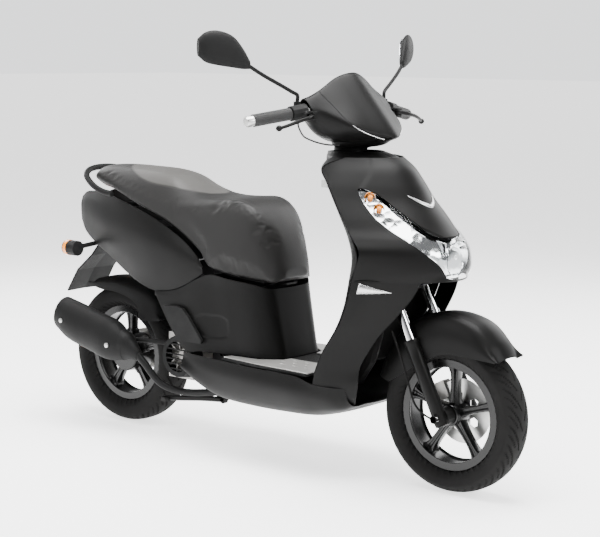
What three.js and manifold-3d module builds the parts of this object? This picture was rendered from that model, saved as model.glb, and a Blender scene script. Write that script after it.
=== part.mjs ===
// A 50 cc moped scooter, in millimetres. +X is forward, +Y is the rider's left and +Z is up.
// The origin is on the ground, at the middle of the overall length and width.
import * as THREE from 'three';
import { mergeVertices } from 'three/addons/utils/BufferGeometryUtils.js';
import Module from 'manifold-3d';

const wasm = await Module();
wasm.setup();

// ---------- driving dimensions ----------
const GAP = 0.3;                 // clearance between touching pieces
const RUN = 0.5;                 // radial clearance of a turning fit
const WALL = 3;                  // thickness of a moulded panel
const wheelbase = 1330;
const rearAxleX = -609;
const frontAxleX = rearAxleX + wheelbase;
const tyreSides = 30;            // flats round a tyre, one of them on the ground
const frontTyreR = 229;
const frontTyreW = 110;
const rearTyreR = 236;
const rearTyreW = 120;
const beadR = 152.4;             // 12 inch rim
const rimW = 70;
const flangeR = 163;
const rake = THREE.MathUtils.degToRad(26.5);
const stemBehind = 35;           // the steering axis runs this far behind the fork legs
const legY = 80;                 // fork leg centre, each side
const sliderR = 20;
const stanchionR = 15;
const sliderTop = 235;           // along the fork, above the axle
const yokeLow = 385;
const yokeThick = 24;
const headLow = 425;             // head tube, along the fork
const headHigh = 800;
const headR = 26;
const stemR = 12.5;
const barR = 11;
const gripR = 17;
const podR = 22;
const floorZ = 317;              // top of the floor panel
const floorHalf = 208;
const crankX = -264;             // crankshaft, inside the fan cover
const crankZ = 280;
const pivotX = -150;             // engine pivot on the frame
const pivotZ = 215;
const seatHingeX = 97;
const seatHingeZ = 536;
const discR = 95;
const mufflerR = 52;

const flatFactor = Math.cos(Math.PI / tyreSides);
const frontAxleZ = frontTyreR * flatFactor;
const rearAxleZ = rearTyreR * flatFactor;

// ---------- solids ----------
const V = (x, y, z) => new THREE.Vector3(x, y, z);

function solidOf(geometry) {
  geometry.deleteAttribute('normal');
  if (geometry.getAttribute('uv')) geometry.deleteAttribute('uv');
  const merged = mergeVertices(geometry, 1e-4);
  const mesh = new wasm.Mesh({
    numProp: 3,
    vertProperties: new Float32Array(merged.getAttribute('position').array),
    triVerts: new Uint32Array(merged.getIndex().array),
  });
  return new wasm.Manifold(mesh);
}

function geometryOf(solid) {
  const mesh = solid.getMesh();
  const geometry = new THREE.BufferGeometry();
  geometry.setAttribute('position', new THREE.BufferAttribute(mesh.vertProperties, 3));
  geometry.setIndex(new THREE.BufferAttribute(mesh.triVerts, 1));
  geometry.computeVertexNormals();
  return geometry;
}

// A closed solid from points and triangles, turned right side out.
function polyhedron(points, faces) {
  let volume = 0;
  for (const [a, b, c] of faces) {
    volume += points[a].dot(V(0, 0, 0).crossVectors(points[b], points[c]));
  }
  const index = volume > 0 ? faces.flat() : faces.map(([a, b, c]) => [a, c, b]).flat();
  const geometry = new THREE.BufferGeometry();
  geometry.setAttribute('position', new THREE.Float32BufferAttribute(points.flatMap((p) => [p.x, p.y,
    p.z]), 3));
  geometry.setIndex(index);
  return solidOf(geometry);
}

function mirrored(solid) {
  const mesh = solid.getMesh();
  const points = [];
  for (let i = 0; i < mesh.vertProperties.length; i += 3) {
    points.push(V(mesh.vertProperties[i], -mesh.vertProperties[i + 1], mesh.vertProperties[i + 2]));
  }
  const faces = [];
  for (let i = 0; i < mesh.triVerts.length; i += 3) faces.push([...mesh.triVerts.slice(i, i + 3)]);
  return polyhedron(points, faces);
}

const joined = (...solids) => solids.reduce((whole, next) => whole.add(next));
const cut = (solid, ...tools) => tools.reduce((left, tool) => left.subtract(tool), solid);

function box(x0, x1, y0, y1, z0, z1) {
  const geometry = new THREE.BoxGeometry(x1 - x0, y1 - y0, z1 - z0);
  geometry.translate((x0 + x1) / 2, (y0 + y1) / 2, (z0 + z1) / 2);
  return solidOf(geometry);
}

// A round bar or cone frustum from one point to another.
function rod(from, to, radius, sides = 12, radiusAtEnd = radius) {
  const along = to.clone().sub(from);
  const geometry = new THREE.CylinderGeometry(radiusAtEnd, radius, along.length(), sides);
  const turn = new THREE.Quaternion().setFromUnitVectors(V(0, 1, 0), along.clone().normalize());
  geometry.applyQuaternion(turn);
  const middle = from.clone().add(to).multiplyScalar(0.5);
  geometry.translate(middle.x, middle.y, middle.z);
  return solidOf(geometry);
}

// A bar along a smooth line through the given points.
function bent(points, radius, sides = 8, steps = 12) {
  const section = new THREE.Shape();
  section.absarc(0, 0, radius, 0, 2 * Math.PI);
  return solidOf(new THREE.ExtrudeGeometry(section, {
    steps,
    curveSegments: sides / 2,
    bevelEnabled: false,
    extrudePath: new THREE.CatmullRomCurve3(points),
  }));
}

// A turned solid about the Y axis, from [radius, y] points that close on themselves.
function turned(profile, sides) {
  const points = profile.map(([r, y]) => new THREE.Vector2(r, y));
  points.push(points[0].clone());
  const geometry = new THREE.LatheGeometry(points, sides);
  const half = Math.PI / sides;
  geometry.rotateY(half);
  const merged = mergeVertices((geometry.deleteAttribute('normal'), geometry.deleteAttribute('uv'),
    geometry), 1e-4);
  const position = merged.getAttribute('position');
  const index = merged.getIndex().array;
  const vertices = [];
  for (let i = 0; i < position.count; i += 1) vertices.push(V(position.getX(i), position.getY(i),
    position.getZ(i)));
  const faces = [];
  for (let i = 0; i < index.length; i += 3) {
    const [a, b, c] = index.slice(i, i + 3);
    if (a !== b && b !== c && a !== c) faces.push([a, b, c]);
  }
  return polyhedron(vertices, faces);
}

// A flat outline given as [x, z] points, thick along Y.
function plateXZ(outline, y0, y1) {
  const shape = new THREE.Shape(outline.map(([x, z]) => new THREE.Vector2(x, z)));
  const geometry = new THREE.ExtrudeGeometry(shape, { depth: y1 - y0, bevelEnabled: false,
    curveSegments: 6 });
  geometry.rotateX(Math.PI / 2);
  geometry.translate(0, y1, 0);
  return solidOf(geometry);
}

// A flat outline given as [x, y] points, thick along Z.
function plateXY(outline, z0, z1) {
  const shape = new THREE.Shape(outline.map(([x, y]) => new THREE.Vector2(x, y)));
  const geometry = new THREE.ExtrudeGeometry(shape, { depth: z1 - z0, bevelEnabled: false,
    curveSegments: 6 });
  geometry.translate(0, 0, z0);
  return solidOf(geometry);
}

// A flat outline given as [y, z] points, thick along X.
function plateYZ(outline, x0, x1) {
  const points = [];
  for (const x of [x0, x1]) for (const [y, z] of outline) points.push(V(x, y, z));
  const n = outline.length;
  const shape = outline.map(([y, z]) => new THREE.Vector2(y, z));
  const cap = THREE.ShapeUtils.triangulateShape(shape, []);
  const faces = [];
  for (const [a, b, c] of cap) {
    faces.push([a, c, b]);
    faces.push([a + n, b + n, c + n]);
  }
  const clockwise = THREE.ShapeUtils.isClockWise(shape);
  for (let i = 0; i < n; i += 1) {
    const j = (i + 1) % n;
    const side = [[i, j, j + n], [i, j + n, i + n]];
    for (const [a, b, c] of side) faces.push(clockwise ? [a, c, b] : [a, b, c]);
  }
  return polyhedron(points, faces);
}

// A closed skin over rings of equal length, with flat ends fanned from their middle.
function loft(rings) {
  const n = rings[0].length;
  const points = rings.flat();
  const faces = [];
  for (let r = 0; r + 1 < rings.length; r += 1) {
    for (let i = 0; i < n; i += 1) {
      const j = (i + 1) % n;
      faces.push([r * n + i, r * n + j, (r + 1) * n + j], [r * n + i, (r + 1) * n + j, (r + 1) * n + i]);
    }
  }
  const middle = (ring) => ring.reduce((sum, p) => sum.add(p), V(0, 0, 0)).multiplyScalar(1 / n);
  const first = points.length;
  points.push(middle(rings[0]), middle(rings.at(-1)));
  const last = (rings.length - 1) * n;
  for (let i = 0; i < n; i += 1) {
    const j = (i + 1) % n;
    faces.push([j, i, first], [last + i, last + j, first + 1]);
  }
  return polyhedron(points, faces);
}

// A panel of even thickness over a grid of points; the second skin lies `thick` along the normals.
function panel(rows, thick) {
  const m = rows.length;
  const n = rows[0].length;
  const at = (i, j) => rows[Math.max(0, Math.min(m - 1, i))][Math.max(0, Math.min(n - 1, j))];
  const back = rows.map((row, i) => row.map((p, j) => {
    const across = at(i, j + 1).clone().sub(at(i, j - 1));
    const down = at(i + 1, j).clone().sub(at(i - 1, j));
    const normal = V(0, 0, 0).crossVectors(across, down).normalize();
    return p.clone().addScaledVector(normal, thick);
  }));
  const points = [...rows.flat(), ...back.flat()];
  const half = m * n;
  const faces = [];
  const quad = (a, b, c, d) => faces.push([a, b, c], [a, c, d]);
  for (let i = 0; i + 1 < m; i += 1) {
    for (let j = 0; j + 1 < n; j += 1) {
      const a = i * n + j;
      quad(a, a + 1, a + n + 1, a + n);
      quad(half + a, half + a + n, half + a + n + 1, half + a + 1);
    }
  }
  for (let j = 0; j + 1 < n; j += 1) {
    const last = (m - 1) * n + j;
    quad(j, half + j, half + j + 1, j + 1);
    quad(last, last + 1, half + last + 1, half + last);
  }
  for (let i = 0; i + 1 < m; i += 1) {
    const left = i * n;
    const right = left + n - 1;
    quad(left, left + n, half + left + n, half + left);
    quad(right, half + right, half + right + n, right + n);
  }
  return polyhedron(points, faces);
}

// Straight-line reading of a table of [key, value, value, ...] rows, sorted by key.
function read(table, key, column) {
  const rising = table[0][0] < table.at(-1)[0] ? table : [...table].reverse();
  if (key <= rising[0][0]) return rising[0][column];
  for (let i = 1; i < rising.length; i += 1) {
    if (key <= rising[i][0]) {
      const share = (key - rising[i - 1][0]) / (rising[i][0] - rising[i - 1][0]);
      return rising[i - 1][column] + share * (rising[i][column] - rising[i - 1][column]);
    }
  }
  return rising.at(-1)[column];
}

const clone = (table) => table.map((row) => [...row]);

// ---------- looks ----------
const finish = (color, roughness, metalness = 0) => new THREE.MeshStandardMaterial({ color, roughness,
  metalness });
const satinBlack = finish(0x3a3836, 0.5);
const matteBlack = finish(0x242424, 0.8);
const glossBlack = finish(0x151515, 0.25);
const paintedFrame = finish(0x1c1c1c, 0.5, 0.4);
const castAluminium = finish(0xa8a6a2, 0.45, 0.8);
const steel = finish(0xb9b9b9, 0.35, 0.9);
const chrome = finish(0xdddddd, 0.12, 1);
const rubber = finish(0x1b1b1b, 0.9);
const cover = finish(0x3c3b3a, 0.7);
const stepMetal = finish(0xc9c7c2, 0.4, 0.7);
const clearLens = finish(0xe8ecee, 0.08);
const redLens = finish(0xa01818, 0.2);

// The x sizes below are measured from a datum this far from the middle of the length.
const datumX = -47;
const scooter = new THREE.Group();
scooter.position.x = datumX;

function add(parent, name, solid, material) {
  const mesh = new THREE.Mesh(geometryOf(solid), material);
  mesh.name = name;
  parent.add(mesh);
  return mesh;
}

// ---------- wheels ----------
// Each is modelled about its axle, which runs along Y.
function tyre(radius, width) {
  const half = width / 2;
  const outer = [[flangeR + 1.5, 36.5], [beadR + 26, half - 2], [radius - 26, half],
    [radius - 8, half - 15], [radius, 20]];
  const inner = [[flangeR + 1.5, 30], [radius - 24, half - 12]];
  const profile = [
    ...outer,
    ...outer.map(([r, y]) => [r, -y]).reverse(),
    ...inner.map(([r, y]) => [r, -y]),
    ...inner.reverse(),
  ];
  return turned(profile, tyreSides);
}

function rim(spokes, hubR, hubHalf, boreR, spokeWide) {
  const half = rimW / 2;
  const barrelR = beadR + 4 - GAP;
  const barrel = turned([[barrelR, -29], [flangeR, -29], [flangeR, -half], [beadR - 14, -half],
    [beadR - 14, half], [flangeR, half], [flangeR, 29], [barrelR, 29], [beadR - 4, 0]], tyreSides);
  const hub = rod(V(0, -hubHalf, 0), V(0, hubHalf, 0), hubR, 10);
  let whole = barrel.add(hub);
  for (let i = 0; i < spokes; i += 1) {
    const angle = Math.PI / 2 + 2 * Math.PI * i / spokes;
    const radial = V(Math.cos(angle), 0, Math.sin(angle));
    const side = V(-Math.sin(angle), 0, Math.cos(angle));
    const ring = (r, wide, deep) => [[-1, -1], [1, -1], [1, 1], [-1, 1]].map(([a, b]) => radial.clone()
      .multiplyScalar(r).addScaledVector(side, a * wide / 2).add(V(0, b * deep / 2, 0)));
    whole = whole.add(loft([ring(hubR * 0.6, spokeWide, 34), ring(80, spokeWide * 0.8, 30),
      ring(beadR - 10, spokeWide, 34)]));
  }
  return whole.subtract(rod(V(0, -hubHalf - 1, 0), V(0, hubHalf + 1, 0), boreR + RUN, 10));
}

const axleR = 8.5;
const frontHubHalf = 36;
const frontWheel = new THREE.Group();
frontWheel.position.set(frontAxleX, 0, frontAxleZ);
scooter.add(frontWheel);
add(frontWheel, 'front_tyre', tyre(frontTyreR, frontTyreW), rubber);
add(frontWheel, 'front_rim', rim(5, 32, frontHubHalf, axleR, 30), glossBlack);

// The disc is bolted to the left end of the hub.
const discY = frontHubHalf + GAP;
const discThick = 4;
let disc = rod(V(0, discY, 0), V(0, discY + discThick, 0), discR, 30);
disc = disc.subtract(rod(V(0, discY - 1, 0), V(0, discY + discThick + 1, 0), 20, 12));
for (let i = 0; i < 5; i += 1) {
  const angle = 2 * Math.PI * (i + 0.5) / 5;
  const at = V(Math.cos(angle) * 48, 0, Math.sin(angle) * 48);
  disc = disc.subtract(rod(at.clone().setY(discY - 1), at.clone().setY(discY + discThick + 1), 15, 6));
}
add(frontWheel, 'brake_disc', disc, steel);

const rearWheel = new THREE.Group();
rearWheel.position.set(rearAxleX, 0, rearAxleZ);
scooter.add(rearWheel);
const rearHubHalf = 44;
add(rearWheel, 'rear_tyre', tyre(rearTyreR, rearTyreW), rubber);
add(rearWheel, 'rear_rim', rim(5, 62, rearHubHalf, axleR, 34), glossBlack);

// ---------- fork ----------
// Fork frame: x ahead of the legs, z up along them, origin on the front axle.
const fork = new THREE.Group();
fork.position.set(frontAxleX, 0, frontAxleZ);
fork.rotation.y = -rake;
scooter.add(fork);
const forkPoint = (x, y, z) => V(x, y, z).applyAxisAngle(V(0, 1, 0), -rake).add(V(frontAxleX, 0, frontAxleZ));

const stanchionLow = 82;
const bothSides = (solid) => solid.add(mirrored(solid));

// Sliders with the axle clamped through their lower ends.
const rightSlider = cut(
  joined(rod(V(0, -legY, -24), V(0, -legY, sliderTop), sliderR, 12),
    rod(V(0, -legY, sliderTop - 12), V(0, -legY, sliderTop), sliderR + 2, 12)),
  rod(V(0, -legY, 14), V(0, -legY, sliderTop + 1), stanchionR + RUN, 12),
);
const axle = rod(V(0, -legY - 26, 0), V(0, legY + 26, 0), axleR, 12);
const speedoDrive = rod(V(0, -legY + 5, 0), V(0, -frontHubHalf - 1, 0), 26, 12)
  .subtract(rod(V(0, -legY, 0), V(0, 0, 0), axleR - 1, 12));
const nut = rod(V(0, -legY - 32, 0), V(0, -legY - 18, 0), 13, 6);
add(fork, 'fork_sliders', joined(bothSides(rightSlider), axle, nut, speedoDrive), matteBlack);

// Yoke, stem and the two chromed fork tubes pressed into it.
const stanchions = bothSides(rod(V(0, -legY, stanchionLow), V(0, -legY, yokeLow + yokeThick),
  stanchionR, 12));
const yoke = plateXY([[-56, -34], [-38, -58], [-18, -legY - 20], [20, -legY - 20], [20, legY + 20],
  [-18, legY + 20],
  [-38, 58], [-56, 34]], yokeLow, yokeLow + yokeThick);
const clampLow = 868;
const stem = rod(V(-stemBehind, 0, yokeLow), V(-stemBehind, 0, clampLow), stemR, 12);
add(fork, 'fork_yoke', joined(stanchions, yoke, stem), steel);

// Fender: an arch over the tyre, with sides that reach down beside it.
const fenderArc = [ // angle round the axle, crown radius, side radius
  [46, 258, 248], [58, 276, 214], [72, 292, 194], [90, 296, 182], [108, 292, 168], [124, 284, 168],
    [142, 272, 176], [158, 260, 205],
];
function archPanel(table, halfSide, crownHalf, thick) {
  const rows = table.map(([degrees, crown, side]) => {
    const angle = THREE.MathUtils.degToRad(degrees);
    const section = [[-halfSide, side], [-halfSide, (side + crown) / 2], [-crownHalf, crown - 14],
      [-crownHalf * 0.5, crown - 3],
      [0, crown], [crownHalf * 0.5, crown - 3], [crownHalf, crown - 14], [halfSide, (side + crown) / 2],
        [halfSide, side]];
    return section.map(([y, r]) => V(r * Math.cos(angle), y, r * Math.sin(angle)));
  });
  return panel(rows, thick);
}
const fenderSkin = archPanel(fenderArc, frontTyreW / 2 + 13, 52, -WALL);
const fenderTurn = new THREE.Group();
fenderTurn.position.set(frontAxleX, 0, frontAxleZ);
scooter.add(fenderTurn);
const legRoom = bothSides(rod(V(0, -legY, -30).applyAxisAngle(V(0, 1, 0), -rake),
  V(0, -legY, 420).applyAxisAngle(V(0, 1, 0), -rake), sliderR + 2 + GAP, 12));
add(fenderTurn, 'front_fender', cut(fenderSkin, legRoom), satinBlack);

// Caliper on the left slider, straddling the disc behind the leg.
const caliperSlot = box(-200, 200, discY - 1.5, discY + discThick + 1.5, -200, discR + 1.5);
const caliperBody = cut(
  joined(box(-80, -22, 28, 58, 50, 104), box(-60, -18, 44, legY, 56, 100)),
  caliperSlot,
  rod(V(0, legY, -30), V(0, legY, sliderTop), sliderR + GAP, 12),
  rod(V(0, 0, 0), V(0, 37, 0), 60, 14),
);
add(fork, 'brake_caliper', caliperBody, castAluminium);

// Speedometer cable, from the drive on the hub up behind the leg to the splash guard.
const speedoRoute = [V(-27, -54, 8), V(-50, -62, 14), V(-64, -82, 60), V(-52, -92, 130), V(-42, -96, 210),
  V(-38, -98, 280)];
add(fork, 'speedometer_cable', bent(speedoRoute, 3, 8, 12), rubber);


// ---------- frame ----------
const headTube = cut(
  rod(forkPoint(-stemBehind, 0, headLow), forkPoint(-stemBehind, 0, headHigh), headR, 12),
  rod(forkPoint(-stemBehind, 0, headLow - 1), forkPoint(-stemBehind, 0, headHigh + 1), stemR + 1, 12),
);
const spineZ = 258;
const spineR = 22;
const downTube = bent([forkPoint(-stemBehind - 24, 0, headLow + 60), V(448, 0, 520), V(425, 0, 400),
  V(385, 0, 300), V(320, 0, spineZ),
  V(150, 0, spineZ), V(0, 0, spineZ)], spineR, 8, 10)
  .subtract(rod(forkPoint(-stemBehind, 0, headLow - 1), forkPoint(-stemBehind, 0, headHigh + 1),
    stemR + 1, 12));
const railR = 13;
const railY = 112;
const rightRail = bent([V(10, 0, spineZ), V(0, -50, spineZ + 2), V(-30, -96, 285), V(-80, -railY, 340),
  V(-150, -railY - 6, 470),
  V(-300, -railY - 2, 590), V(-480, -railY + 14, 690), V(-650, -70, 738)], railR, 6, 9);
const crossBars = joined(
  rod(V(-92, -railY, 355), V(-92, railY, 355), 10, 12),
  rod(V(-640, -74, 735), V(-640, 74, 735), 10, 12),
);
const pivotEars = bothSides(joined(
  box(pivotX - 16, pivotX + 16, -74, -66, pivotZ - 16, 300),
  box(-160, -20, -74, -66, 268, 292),
));
const pivotPin = rod(V(pivotX, -76, pivotZ), V(pivotX, 76, pivotZ), 8, 10);
const shockY = 106;
const shockTop = V(-430, shockY, 560);
const shockPin = rod(V(shockTop.x, shockY - 22, shockTop.z), V(shockTop.x, shockY + 14, shockTop.z), 6, 12);
const shockArm = bent([V(-420, shockY - 4, 655), V(-428, shockY - 19, 610),
  V(shockTop.x, shockY - 21, shockTop.z)], 8, 8, 6);
const frameSolid = joined(headTube, downTube, bothSides(rightRail),
  crossBars, pivotEars, pivotPin, shockPin, shockArm);
add(scooter, 'main_frame', frameSolid, paintedFrame);

// ---------- front body ----------
// Rows of the front apron: height, centre line x, edge x, half width at the edge.
const apronRows = [
  [952, 498, 398, 118], [922, 540, 354, 165], [880, 572, 388, 182], [835, 602, 424, 195],
    [790, 642, 462, 207],
  [758, 672, 488, 215], [730, 702, 514, 223], [701, 722, 538, 229], [674, 732, 536, 231],
    [640, 735, 524, 231], [612, 722, 514, 230],
];
const apronX = (y, z) => {
  const nose = read(apronRows, z, 1);
  const edge = read(apronRows, z, 2);
  return nose - (nose - edge) * Math.min(1, Math.abs(y) / read(apronRows, z, 3)) ** 2;
};
const across = [-1, -0.8, -0.55, -0.28, 0, 0.28, 0.55, 0.8, 1];
const apronSkin = (inset, grow) => apronRows.map(([z, , , half]) => across.map((share) => {
  const y = share * (half + grow);
  return V(apronX(y, z) - inset, y, z);
}));

// Lower leg shield, each side: height, rear edge x and half width, front edge x and half width.
const shieldRows = [
  [618, 514, 230, 664, 92], [560, 500, 229, 636, 108], [494, 474, 226, 588, 132], [455, 448, 224, 556, 146],
  [408, 414, 222, 526, 156], [350, 384, 220, 496, 163], [300, 366, 218, 492, 165],
];
const shieldSkin = shieldRows.map(([z, backX, backY, frontX, frontY]) => [0, 0.3, 0.65, 1].map((share) => V(
  backX + (frontX - backX) * share,
  -(backY + (frontY - backY) * share ** 1.6),
  z,
)));
const rightShield = panel(shieldSkin, WALL);

// The lamp outline, seen from the front, each side: the corner towards the wheel arch comes first.
const lampSide = [
  [0, 618], [50, 624], [80, 664], [112, 698], [136, 736], [150, 768], [156, 802], [146, 866], [122, 854],
  [108, 822], [96, 795], [80, 768], [56, 740], [0, 730],
];
const lampOutline = (grow) => {
  const all = [...lampSide, ...lampSide.slice(1, -1).reverse().map(([y, z]) => [-y, z])];
  const n = all.length;
  return all.map(([y, z], i) => {
    const before = all[(i + n - 1) % n];
    const after = all[(i + 1) % n];
    const along = new THREE.Vector2(after[0] - before[0], after[1] - before[1]).normalize();
    return [y + along.y * grow, z - along.x * grow];
  });
};
const lampReach = [420, 800];
const lampHole = plateYZ(lampOutline(1), ...lampReach);
const apron = cut(joined(panel(apronSkin(0, 0), WALL), rightShield, mirrored(rightShield)), lampHole);
add(scooter, 'front_apron', apron, satinBlack);
const lens = panel(apronSkin(-1, 1), WALL - 1).intersect(plateYZ(lampOutline(0), ...lampReach));
add(scooter, 'headlight_lens', lens, clearLens);
const housingDepth = 26;
const housing = panel(apronSkin(housingDepth, -6), WALL).intersect(plateYZ(lampOutline(-2), ...lampReach));
add(scooter, 'headlight_housing', housing, chrome);

// Inner leg shield, behind the apron: height, centre line x.
const innerRows = [[948, 268], [922, 282], [880, 306], [835, 332], [790, 356], [730, 385], [674, 404],
  [612, 412], [540, 404],
  [470, 388], [400, 370], [350, 358], [321, 350]];
const edgeX = (z) => (z > 612 ? read(apronRows, z, 2) : read(shieldRows, z, 1));
const edgeY = (z) => (z > 612 ? read(apronRows, z, 3) : read(shieldRows, z, 2));
const innerSkin = innerRows.map(([z, centre]) => across.map((share) => {
  const half = edgeY(z) - 1;
  const reach = edgeX(z) - 6;
  return V(centre + (reach - centre) * Math.abs(share) ** 2.2, share * half, z);
}));
const innerShield = panel(innerSkin, -WALL);

// The collar round the stem, closing the top of the apron.
const ringXY = (cx, rx, ry, z, count = 16) => Array.from({ length: count }, (_, i) => {
  const angle = 2 * Math.PI * i / count;
  return V(cx + rx * Math.cos(angle), ry * Math.sin(angle), z);
});
const collarRings = (inset) => [
  ringXY(376, 108 - inset, 108 - inset, 940),
  ringXY(364, 98 - inset, 92 - inset, 953),
  ringXY(350, 88 - inset, 80 - inset, 962),
  ringXY(342, 80 - inset, 72 - inset, 972),
];
const collarInner = collarRings(WALL);
const collar = cut(loft(collarRings(0)), loft([collarInner[0].map((p) => p.clone().setZ(930)), ...collarInner,
  collarInner[3].map((p) => p.clone().setZ(980))]));
const apronRoom = panel(apronSkin(-GAP, GAP), WALL + 2 * GAP);
add(scooter, 'inner_leg_shield', cut(joined(innerShield, collar), apronRoom, frameSolid), satinBlack);

// ---------- floor and belly ----------
const floorThick = 6;
const floorFront = 346;
const floorRear = -22;
const floorOutline = [[floorRear, -120], [floorRear, -188], [120, -204], [floorFront - 12, -floorHalf],
  [floorFront - 2, -60], [floorFront - 4, 60],
  [floorFront - 12, floorHalf], [120, 204], [floorRear, 188], [floorRear, 120]];
const floorPanel = plateXY(floorOutline, floorZ - floorThick, floorZ);
add(scooter, 'floor_panel', floorPanel, matteBlack);
const stepThick = 3;
const stepOutline = [[-20, -179], [-14, -152], [84, -140], [146, -96], [152, -62], [330, -62], [331, -199],
  [120, -194], [20, -183]];
const stepPlate = plateXY(stepOutline, floorZ + GAP, floorZ + GAP + stepThick);
add(scooter, 'step_plate_right', stepPlate, stepMetal);
add(scooter, 'step_plate_left', mirrored(stepPlate), stepMetal);

// Belly pan, from the sill on one side to the other: x, sill half width and height, flank, keel half width
// and height.
const bellyRows = [
  [-205, 166, 309, 168, 290, 166, 262], [-120, 180, 309, 186, 272, 160, 212],
    [-40, 190, 309, 197, 262, 150, 184],
  [80, 203, 309, 210, 258, 146, 177], [200, 211, 309, 218, 256, 142, 178],
    [300, 216, 309, 222, 256, 134, 182],
  [360, 217, 296, 214, 254, 120, 192], [420, 205, 292, 196, 250, 104, 210],
    [458, 180, 290, 168, 254, 84, 232],
];
const bellySkin = bellyRows.map(([x, sillY, sillZ, flankY, flankZ, keelY, keelZ]) => {
  const right = [[sillY, sillZ], [flankY, flankZ], [(flankY + keelY) / 2 + 12, (flankZ + keelZ) / 2 - 10],
    [keelY, keelZ], [keelY * 0.5, keelZ - 3]];
  return [...right.map(([y, z]) => V(x, -y, z)), ...right.reverse().map(([y, z]) => V(x, y, z))];
});
const openBelly = box(-230, -8, -149, 149, 150, 320);
add(scooter, 'belly_pan', cut(panel(bellySkin, -WALL), openBelly,
  panel(shieldSkin.map((row) => row.map((p) => p.clone().add(V(0, -GAP, 0)))), WALL + 3 * GAP),
  mirrored(panel(shieldSkin.map((row) => row.map((p) => p.clone().add(V(0, -GAP, 0)))), WALL + 3 * GAP))),
    satinBlack);

// Battery, under the floor beside the spine.
add(scooter, 'battery', box(120, 240, 48, 128, 196, 296), matteBlack);

// ---------- seat pillar ----------
// Stations from the right rear corner round the front: x, y at the top, x, y at the bottom, top height,
// bottom height.
const pillarStations = [
  [-352, 147, -318, 152, 486, 440], [-292, 151, -262, 158, 493, 370], [-226, 155, -196, 163, 511, 312.5],
  [-164, 158, -140, 160, 542, floorZ + 1.5], [-100, 157, -60, 146, 566, floorZ + 1.5],
    [-30, 150, -10, 139, 558, floorZ + 1.5],
  [50, 128, 80, 128, 547, floorZ + 1.5], [86, 92, 132, 88, 533, floorZ + 1.5],
    [94, 45, 140, 45, 530, floorZ + 1.5],
];
const pillarColumns = [...pillarStations.map((row) => [...row, -1]),
  ...clone(pillarStations).reverse().map((row) => [...row, 1])];
const pillarSkin = [0, 0.25, 0.55, 0.8, 1].map((share) => pillarColumns.map(([topX, topY, lowX, lowY, topZ,
  lowZ, side]) => V(
  topX + (lowX - topX) * share,
  side * (topY + (lowY - topY) * share ** 0.6),
  topZ + (lowZ - topZ) * share,
)));
const pillarWall = panel(pillarSkin, WALL);
add(scooter, 'seat_pillar_cover', pillarWall, satinBlack);


// ---------- under the seat ----------
const bucketX = [-236, 44];
const bucketHalf = 100;
const bucketZ = [386, 535];
const bucket = cut(
  loft([[bucketX[0] + 20, bucketX[1] - 24, bucketHalf - 16, bucketZ[0]],
    [bucketX[0], bucketX[1] - 8, bucketHalf, bucketZ[0] + 60],
    [bucketX[0], bucketX[1], bucketHalf, bucketZ[1]]].map(([x0, x1, half, z]) => [V(x0, -half, z),
      V(x1, -half, z), V(x1, half, z), V(x0, half, z)])),
  box(bucketX[0] + WALL, bucketX[1] - 28, -bucketHalf + 18, bucketHalf - 18, bucketZ[0] + WALL,
    bucketZ[0] + 61),
  box(bucketX[0] + WALL, bucketX[1] - 12, -bucketHalf + WALL, bucketHalf - WALL, bucketZ[0] + 60,
    bucketZ[1] + 1),
);
add(scooter, 'helmet_bucket', cut(bucket, box(-110, -74, -120, 120, 344, 368)), matteBlack);
const tankX = [-560, -250];
const tankHalf = 77;
const tank = joined(
  loft([[tankX[0], 610, 672], [tankX[0] + 60, 572, 690], [tankX[1] - 70, 572, 690],
    [tankX[1], 590, 676]].map(([x, low, high]) => [
    V(x, -tankHalf, low), V(x, tankHalf, low), V(x, tankHalf, high), V(x, -tankHalf, high)])),
  rod(V(-330, -40, 680), V(-330, -40, 702), 26, 12),
  rod(V(-330, -40, 700), V(-330, -40, 716), 32, 12),
);
add(scooter, 'fuel_tank', tank, matteBlack);

// ---------- tail ----------
// Stations of a tail fairing: x, top half width and height, bulge half width and height, bottom half width
// and height.
const tailRows = [
  [-132, 157, 588, 158, 578, 157, 566], [-160, 158, 622, 164, 588, 158, 549],
    [-210, 158, 660, 169, 604, 157, 522],
  [-270, 156, 690, 170, 620, 153, 500], [-350, 150, 721, 166, 635, 145, 487],
    [-430, 141, 744, 157, 650, 134, 500],
  [-520, 124, 763, 143, 668, 118, 532], [-610, 101, 777, 124, 684, 103, 574],
    [-690, 80, 783, 101, 702, 90, 607],
  [-760, 62, 778, 76, 712, 72, 642], [-800, 50, 758, 58, 716, 55, 678],
];
const tailSkin = tailRows.map(([x, topY, topZ, midY, midZ, lowY, lowZ]) => [
  V(x, -topY, topZ), V(x, -(topY * 0.35 + midY * 0.65) - 2, topZ * 0.5 + midZ * 0.5), V(x, -midY, midZ),
  V(x, -(lowY * 0.35 + midY * 0.65), lowZ * 0.5 + midZ * 0.5), V(x, -lowY, lowZ),
]);
const tailSide = panel(tailSkin, WALL);
add(scooter, 'tail_fairing_right', tailSide, satinBlack);
add(scooter, 'tail_fairing_left', mirrored(tailSide), satinBlack);
const lightHalf = 46;
const tailLight = loft([[-778, 0.86], [-800, 1], [-812, 0.8]].map(([x, share]) => [[-1, -0.5], [-1, 0.5],
  [-0.8, 1], [0.8, 1], [1, 0.5],
  [1, -0.5], [0.8, -1], [-0.8, -1]].map(([a, b]) => V(x, a * lightHalf * share, 718 + b * 30 * share))));
add(scooter, 'tail_light', tailLight, redLens);

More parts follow.
